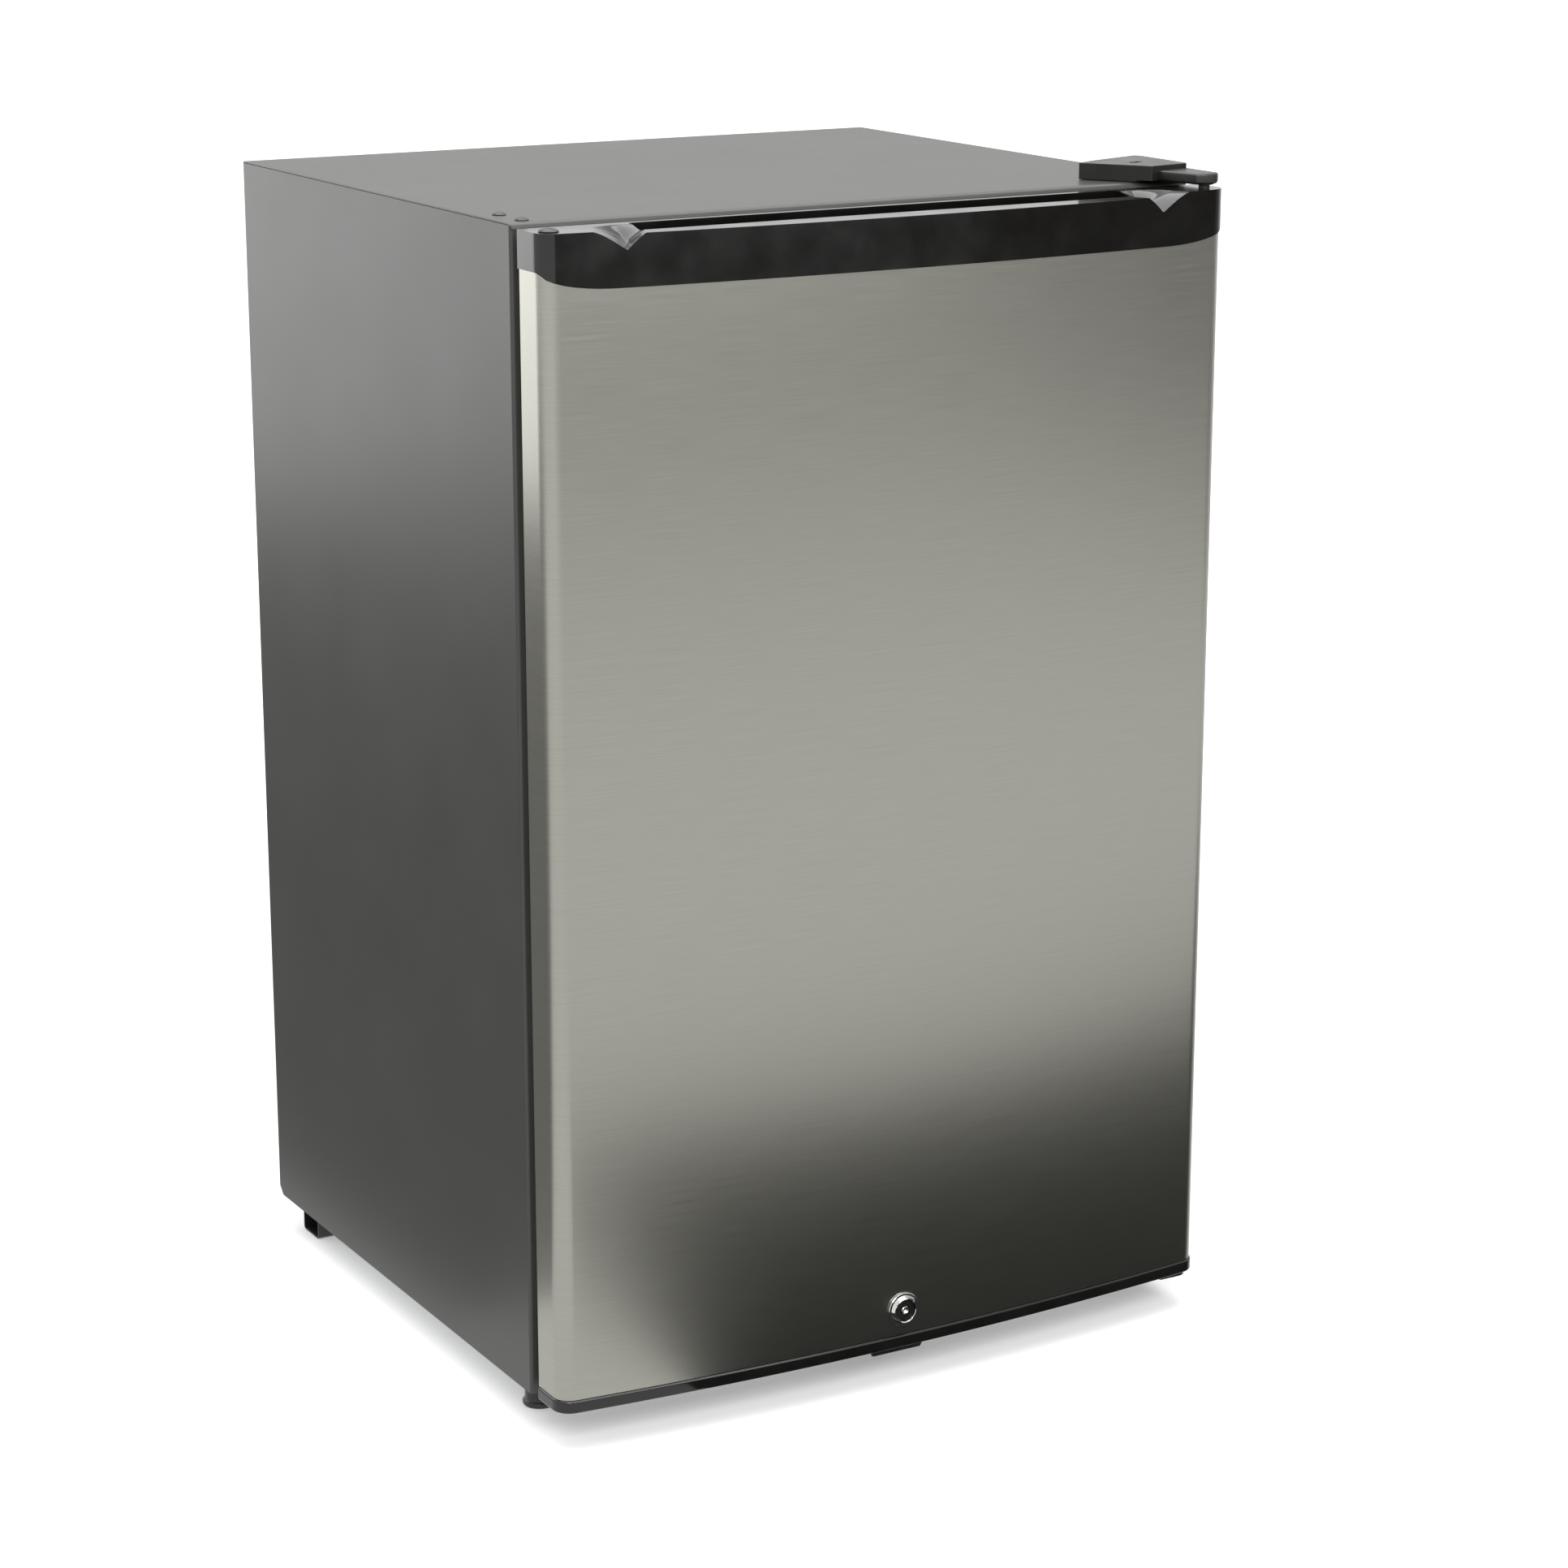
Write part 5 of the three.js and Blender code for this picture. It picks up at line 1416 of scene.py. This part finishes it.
class FRIDGE_OT_compressor(bpy.types.Operator):
    """Compressor can in two drawn halves on its foot plate, start relay, rubber grommets and the drain pan"""

    bl_idname = "fridge.compressor"
    bl_label = "Compressor"

    def execute(self, context):
        dome_low, dome_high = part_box("compressor_dome")
        axis = (dome_low + dome_high) / 2
        radius, split, top = (dome_high.x - dome_low.x) / 2, dome_low.z - FIT, dome_high.z
        low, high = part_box("compressor_base")
        wall = 3 * MM
        place = (axis.x, axis.y, 0)
        bowl = [
            (0, low.z + MM),
            *stepped(radius, low.z, [(24, 1), (15, 2.6), (6.5, 8), (1.8, 15.5), (0, 26)]),
            *stepped(radius, split, [(0, -3), (0.9, -2), (0.9, 0), (3, 0)]),
            *stepped(radius, low.z, [(3, 27), (7, 14), (21, 4)]),
            (0, low.z + MM + wall),
        ]
        can = turned("compressor_bowl", bowl, place, steps=96)
        foot_front = centre_of("compressor_grommet_front_left").y - 10 * MM
        foot_back = centre_of("compressor_grommet_rear_left").y + 10 * MM
        foot = block("foot", (low.x, foot_front, low.z), (high.x, foot_back, low.z + 3 * MM))
        rounded(foot, upright, 10 * MM, 6)
        eased(foot, 0.6 * MM, 60, 2)
        gathered(can, foot)
        placed(can, "compressor_base", "black_steel")

        crown = [(0, -33), (1.8, -24), (6, -15.5), (12, -9.4), (20, -4.6), (29, -1.4), (40, -0.3)]
        cap = [
            (0, top - wall),
            *stepped(radius, top, [(31, -3), (13, -13), (3, -34)]),
            *stepped(radius, split, [(3, 0.3), (0.9, 0.3), (0.9, 2), (0, 3)]),
            *stepped(radius, top, crown),
            (0, top),
        ]
        placed(turned("compressor_cap", cap, place, steps=96), "compressor_dome", "black_steel")
        kept("compressor_motor", "zinc_steel")

        low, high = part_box("start_relay_box")
        relay = block("relay_cover", low, high)
        pressed(relay, lambda f: f.normal.x < -0.9, (3 * MM, -1.2 * MM))
        eased(relay, 1.2 * MM, 50, 3)
        placed(relay, "start_relay_box", "satin_black")

        low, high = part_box("drain_pan")
        tray = block("evaporation_pan", low, high)
        hollowed(tray, 6 * MM, 2 * MM, low.z + 2 * MM)
        eased(tray, 0.6 * MM, 50, 2)
        placed(tray, "drain_pan", "satin_black")

        flare = [(0, 0), (-10.6, 0), (-11, 0.4), (-11, 2.8), (-9.8, 3.6), (-8.3, 4.6), (-8, 6.2)]
        flare += [(-8.4, 8.2), (-9.4, 9.9)]
        for spot in ("front_left", "front_right", "rear_left", "rear_right"):
            low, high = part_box(f"compressor_grommet_{spot}")
            height = high.z - low.z
            waist = stepped(0, 0, flare) + stepped(0, height, [(-10, -0.6), (-9.7, 0), (0, 0)])
            middle = (low + high) / 2
            grommet = turned(f"grommet_{spot}", waist, (middle.x, middle.y, low.z), steps=48)
            placed(grommet, f"compressor_grommet_{spot}", "rubber")
        return {"FINISHED"}


class FRIDGE_OT_pipework(bpy.types.Operator):
    """Condenser with its welded wires and tabs, copper discharge tube, drain tube and cord gland"""

    bl_idname = "fridge.pipework"
    bl_label = "Condenser and tubes"

    def execute(self, context):
        low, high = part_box("condenser")
        radius, wire = 2.5 * MM, 0.8 * MM
        y = high.y - 2.9 * MM
        half = high.x - radius
        run_low, run_high, runs = low.z + 12 * MM, high.z - 8 * MM, 9
        pitch = (run_high - run_low) / (runs - 1)
        bend = pitch / 2
        run_half = half - bend
        inlet = half - 15 * MM
        path = [(inlet, low.z), (inlet, low.z + 4 * MM), (inlet - 0.8 * MM, run_low - 5 * MM)]
        path += [(inlet - 4 * MM, run_low - 1.6 * MM), (run_half, run_low)]
        for run in range(runs):
            side = 1 if run % 2 else -1
            z = run_low + run * pitch
            if run == runs - 1:
                path.append((side * half, z))
            else:
                path += arc((side * run_half, z + bend), bend, -90, -270 if side < 0 else 90, 20)
        coil = tube("condenser_coil", [(x, y, z) for x, z in path], radius, 5)
        others = []
        wires = 10
        for i in range(wires):
            x = -run_half + 2 * run_half * i / (wires - 1)
            ends = [(x, high.y - wire, low.z + 4 * MM), (x, high.y - wire, high.z)]
            others.append(tube("condenser_wire", ends, wire, 3))
        for side in (-1, 1):
            for z in (run_low, run_high):
                x = side * (run_half - 30 * MM)
                tab = block("tab", (x - 9 * MM, low.y, z - MM), (x + 9 * MM, y, z + MM))
                others.append(eased(tab, 0.4 * MM, 60, 2))
        gathered(coil, *others)
        placed(coil, "condenser", "black_steel")

        low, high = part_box("discharge_tube")
        dome_low, dome_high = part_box("compressor_dome")
        x = (dome_low.x + dome_high.x) / 2
        foot = low.z + radius
        route = [
            (x, dome_high.y + FIT, foot),
            (x, y - 4 * MM, foot),
            (x + 10 * MM, y, foot + 12 * MM),
            (inlet, y, high.z - 24 * MM),
            (inlet, y, high.z),
        ]
        placed(tube("discharge_pipe", filleted(route, 12 * MM, 8), radius, 5), "discharge_tube", "copper")

        low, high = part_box("drain_tube")
        middle = (low + high) / 2
        outer = (high.x - low.x) / 2
        bore = outer - 1.5 * MM
        ring = [(bore, low.z), (outer, low.z), (outer, high.z), (bore, high.z), (bore, low.z)]
        placed(turned("drain_pipe", ring, (middle.x, middle.y, 0), steps=40), "drain_tube", "white_liner")

        low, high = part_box("cord_gland")
        middle = (low + high) / 2
        outer, start, end = (high.x - low.x) / 2, low.y, high.y
        bore = 4 * MM
        ring = [
            *stepped(bore, start, [(0, 0.4), (-0.4, 0)]),
            *stepped(outer, start, [(0.6, 0), (0, 0.6), (0, 3.4), (0.6, 4)]),
            *stepped(0, start, [(-8.2, 4.4), (-8, 5)]),
            *stepped(0, end, [(-8, -0.8), (-7.4, 0)]),
            (bore, end),
            (bore, start + 0.4 * MM),
        ]
        placed(turned("strain_relief", ring, (middle.x, 0, middle.z), "Y", 48), "cord_gland", "satin_black")
        return {"FINISHED"}


# ---------------------------------------------------------------- studio


def aimed(thing, target):
    """Turns a light, a camera or a card so that its -Z points at a place."""
    thing.rotation_euler = (Vector(target) - thing.location).to_track_quat("-Z", "Y").to_euler()
    return thing


def softbox(name, place, target, size, power):
    """A rectangular lamp."""
    lamp = bpy.data.lights.new(name, "AREA")
    lamp.shape = "RECTANGLE"
    lamp.size, lamp.size_y = size
    lamp.energy = power
    thing = bpy.data.objects.new(name, lamp)
    bpy.context.scene.collection.objects.link(thing)
    thing.location = place
    thing.visible_camera = False
    return aimed(thing, target)


def card(name, corners, brightness):
    """A flat card with its own brightness that only reflections see."""
    shade = bpy.data.materials.new(name)
    shade.use_nodes = True
    shade.node_tree.nodes.clear()
    ink = add(shade.node_tree, "ShaderNodeEmission", {"Color": [1, 1, 1, 1], "Strength": brightness})
    add(shade.node_tree, "ShaderNodeOutputMaterial", {"Surface": ink.outputs[0]})
    piece = only(line(name, corners))
    piece.data.materials.append(shade)
    for kind in ("camera", "diffuse", "transmission", "volume_scatter", "shadow"):
        setattr(piece, f"visible_{kind}", False)
    return piece


def showing(tree):
    """1 for the rays that show the backdrop: the camera's own, mirrored ones, and ones through glass."""
    path = add(tree, "ShaderNodeLightPath").outputs
    shown = path["Is Camera Ray"]
    for other in ("Is Glossy Ray", "Is Transmission Ray"):
        shown = add(tree, "ShaderNodeMath", {0: shown, 1: path[other]}, operation="MAXIMUM").outputs[0]
    return shown


# The camera stands level in roll. Its lens is in millimetres, its turns are in radians.
CAMERA_PLACE = (-1.2936, -2.3379, 1.0852)
CAMERA_YAW, CAMERA_PITCH = 0.5218, 0.2625
CAMERA_LENS = 88.5

# How much of the white surroundings lights the object, where 1 is what the camera and reflections see.
ROOM_LIGHT = 0.45
FLOOR_TONE = 0.8
# The floor's own glow grows from the first value to the second between these distances from the middle.
FLOOR_GLOW = 0.3, 1.0
FLOOR_REACH = 0.9, 2.2

# Soft lights: name, place, the point faced, size and power in watts.
LIGHTS = (
    ("front_light", (-1.6, -2.8, 2.4), (0, 0, 0.4), (1.6, 1.6), 60),
    ("high_light", (0.6, -3.0, 2.3), (0, 0, 0.4), (1.8, 1.2), 34),
    ("top_light", (0.2, 0.2, 3.0), (0, 0, 0), (3.0, 3.0), 88),
    ("side_light", (-0.72, 0.78, 0.8), (-0.255, -0.15, 0.58), (0.8, 0.8), 3.6),
)

# Cards that only reflections see. Those on the floor: name, X and Y of each corner, brightness.
CARD_HEIGHT = 2 * MM
FLOOR_CARDS = (
    ("door_shade", [(-0.14, -0.8), (1.6, -0.58), (1.6, -0.24), (-0.14, -0.24)], 0.04),
    ("side_shade", [(-4, 0), (-0.3, 0), (-0.3, 5), (-4, 5)], 0.24),
    ("right_shade", [(2.6, -3.6), (9, -3.6), (9, -0.5), (2.6, -0.5)], 0.3),
)

# Those that stand before the door: name, from X to X, from Z to Z, brightness.
UPRIGHT_CARDS_Y = -3.6
UPRIGHT_CARDS = (
    ("low_horizon", -0.8, 2.4, 0, 0.5, 0.14),
    ("high_horizon", -0.8, 2.4, 0.5, 1.5, 1.9),
    ("right_horizon", 2.4, 9, 0, 1.4, 0.06),
)


class FRIDGE_OT_studio(bpy.types.Operator):
    """Studio: white floor that keeps the shadow, soft lights, reflection cards and the camera"""

    bl_idname = "fridge.studio"
    bl_label = "Studio"

    def execute(self, context):
        scene = context.scene
        scene.view_settings.view_transform = "Standard"
        scene.view_settings.look = "None"
        world = bpy.data.worlds.new("studio")
        scene.world = world
        world.use_nodes = True
        tree = world.node_tree
        tree.nodes.clear()
        white = linear(colours().backdrop)
        seen = add(tree, "ShaderNodeBackground", {"Color": white, "Strength": 1.0}).outputs[0]
        room = add(tree, "ShaderNodeBackground", {"Color": white, "Strength": ROOM_LIGHT}).outputs[0]
        mixed = add(tree, "ShaderNodeMixShader", {0: showing(tree), 1: room, 2: seen})
        add(tree, "ShaderNodeOutputWorld", {"Surface": mixed.outputs[0]})

        only(None)
        bpy.ops.mesh.primitive_plane_add(size=40, location=(0, 0, 0))
        floor = settled("floor")
        paper = bpy.data.materials.new("white_paper")
        paper.use_nodes = True
        tree = paper.node_tree
        tree.nodes.clear()
        diffuse = add(tree, "ShaderNodeBsdfDiffuse", {"Color": [FLOOR_TONE] * 3 + [1]}).outputs[0]
        place = add(tree, "ShaderNodeTexCoord").outputs["Object"]
        far = add(tree, "ShaderNodeVectorMath", {0: place}, operation="LENGTH").outputs["Value"]
        glow = ranged(tree, far, *FLOOR_GLOW, *FLOOR_REACH)
        mirror = add(tree, "ShaderNodeLightPath").outputs["Is Glossy Ray"]
        level = add(tree, "ShaderNodeMath", {0: glow, 1: mirror}, operation="MAXIMUM").outputs[0]
        shown = add(tree, "ShaderNodeMath", {0: level, 1: showing(tree)}, operation="MULTIPLY").outputs[0]
        lit = add(tree, "ShaderNodeEmission", {"Color": white, "Strength": shown}).outputs[0]
        paper_white = add(tree, "ShaderNodeAddShader", {0: diffuse, 1: lit}).outputs[0]
        both = add(tree, "ShaderNodeMixShader", {0: mirror, 1: paper_white, 2: lit}).outputs[0]
        add(tree, "ShaderNodeOutputMaterial", {"Surface": both})
        floor.data.materials.append(paper)

        for name, corners, brightness in FLOOR_CARDS:
            card(name, [(x, y, CARD_HEIGHT) for x, y in corners], brightness)
        for name, x0, x1, z0, z1, brightness in UPRIGHT_CARDS:
            corners = ((x0, z0), (x1, z0), (x1, z1), (x0, z1))
            card(name, [(x, UPRIGHT_CARDS_Y, z) for x, z in corners], brightness)
        for name, place, target, size, power in LIGHTS:
            softbox(name, place, target, size, power)

        camera = bpy.data.cameras.new("camera")
        camera.sensor_width = 36
        camera.lens = CAMERA_LENS
        camera.clip_end = 100
        viewer = bpy.data.objects.new("camera", camera)
        scene.collection.objects.link(viewer)
        viewer.location = CAMERA_PLACE
        viewer.rotation_euler = (math.pi / 2 - CAMERA_PITCH, 0, -CAMERA_YAW)
        scene.camera = viewer
        return {"FINISHED"}


# ---------------------------------------------------------------- add-on


class FRIDGE_OT_materials(bpy.types.Operator):
    """Procedural materials of every finish"""

    bl_idname = "fridge.materials"
    bl_label = "Materials"

    def execute(self, context):
        FINISH.update(make_materials())
        return {"FINISHED"}


STEPS = (
    FRIDGE_OT_materials,
    FRIDGE_OT_cabinet,
    FRIDGE_OT_feet,
    FRIDGE_OT_door,
    FRIDGE_OT_door_inside,
    FRIDGE_OT_lock,
    FRIDGE_OT_hinges,
    FRIDGE_OT_liner,
    FRIDGE_OT_shelves,
    FRIDGE_OT_controls,
    FRIDGE_OT_compressor,
    FRIDGE_OT_pipework,
    FRIDGE_OT_studio,
)


class FRIDGE_PT_builder(bpy.types.Panel):
    """Lists the sizes, the colours and the steps that build the refrigerator"""

    bl_idname = "FRIDGE_PT_builder"
    bl_label = "Refrigerator"
    bl_space_type = "VIEW_3D"
    bl_region_type = "UI"
    bl_category = "Refrigerator"

    def draw(self, context):
        for settings in (context.scene.fridge_sizes, context.scene.fridge_colours):
            box = self.layout.box()
            for name in settings.__annotations__:
                box.prop(settings, name)
        for step in STEPS:
            self.layout.operator(step.bl_idname)


CLASSES = (FridgeColours, FridgeSizes, *STEPS, FRIDGE_PT_builder)


def register():
    for kind in CLASSES:
        bpy.utils.register_class(kind)
    bpy.types.Scene.fridge_colours = bpy.props.PointerProperty(type=FridgeColours)
    bpy.types.Scene.fridge_sizes = bpy.props.PointerProperty(type=FridgeSizes)


def unregister():
    del bpy.types.Scene.fridge_sizes
    del bpy.types.Scene.fridge_colours
    for kind in reversed(CLASSES):
        bpy.utils.unregister_class(kind)


def main():
    """Registers the add-on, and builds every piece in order."""
    register()
    bpy.ops.fridge.materials()
    bpy.ops.fridge.cabinet()
    bpy.ops.fridge.feet()
    bpy.ops.fridge.door()
    bpy.ops.fridge.door_inside()
    bpy.ops.fridge.lock()
    bpy.ops.fridge.hinges()
    bpy.ops.fridge.liner()
    bpy.ops.fridge.shelves()
    bpy.ops.fridge.controls()
    bpy.ops.fridge.compressor()
    bpy.ops.fridge.pipework()
    bpy.ops.fridge.studio()


if __name__ == "__main__":
    main()
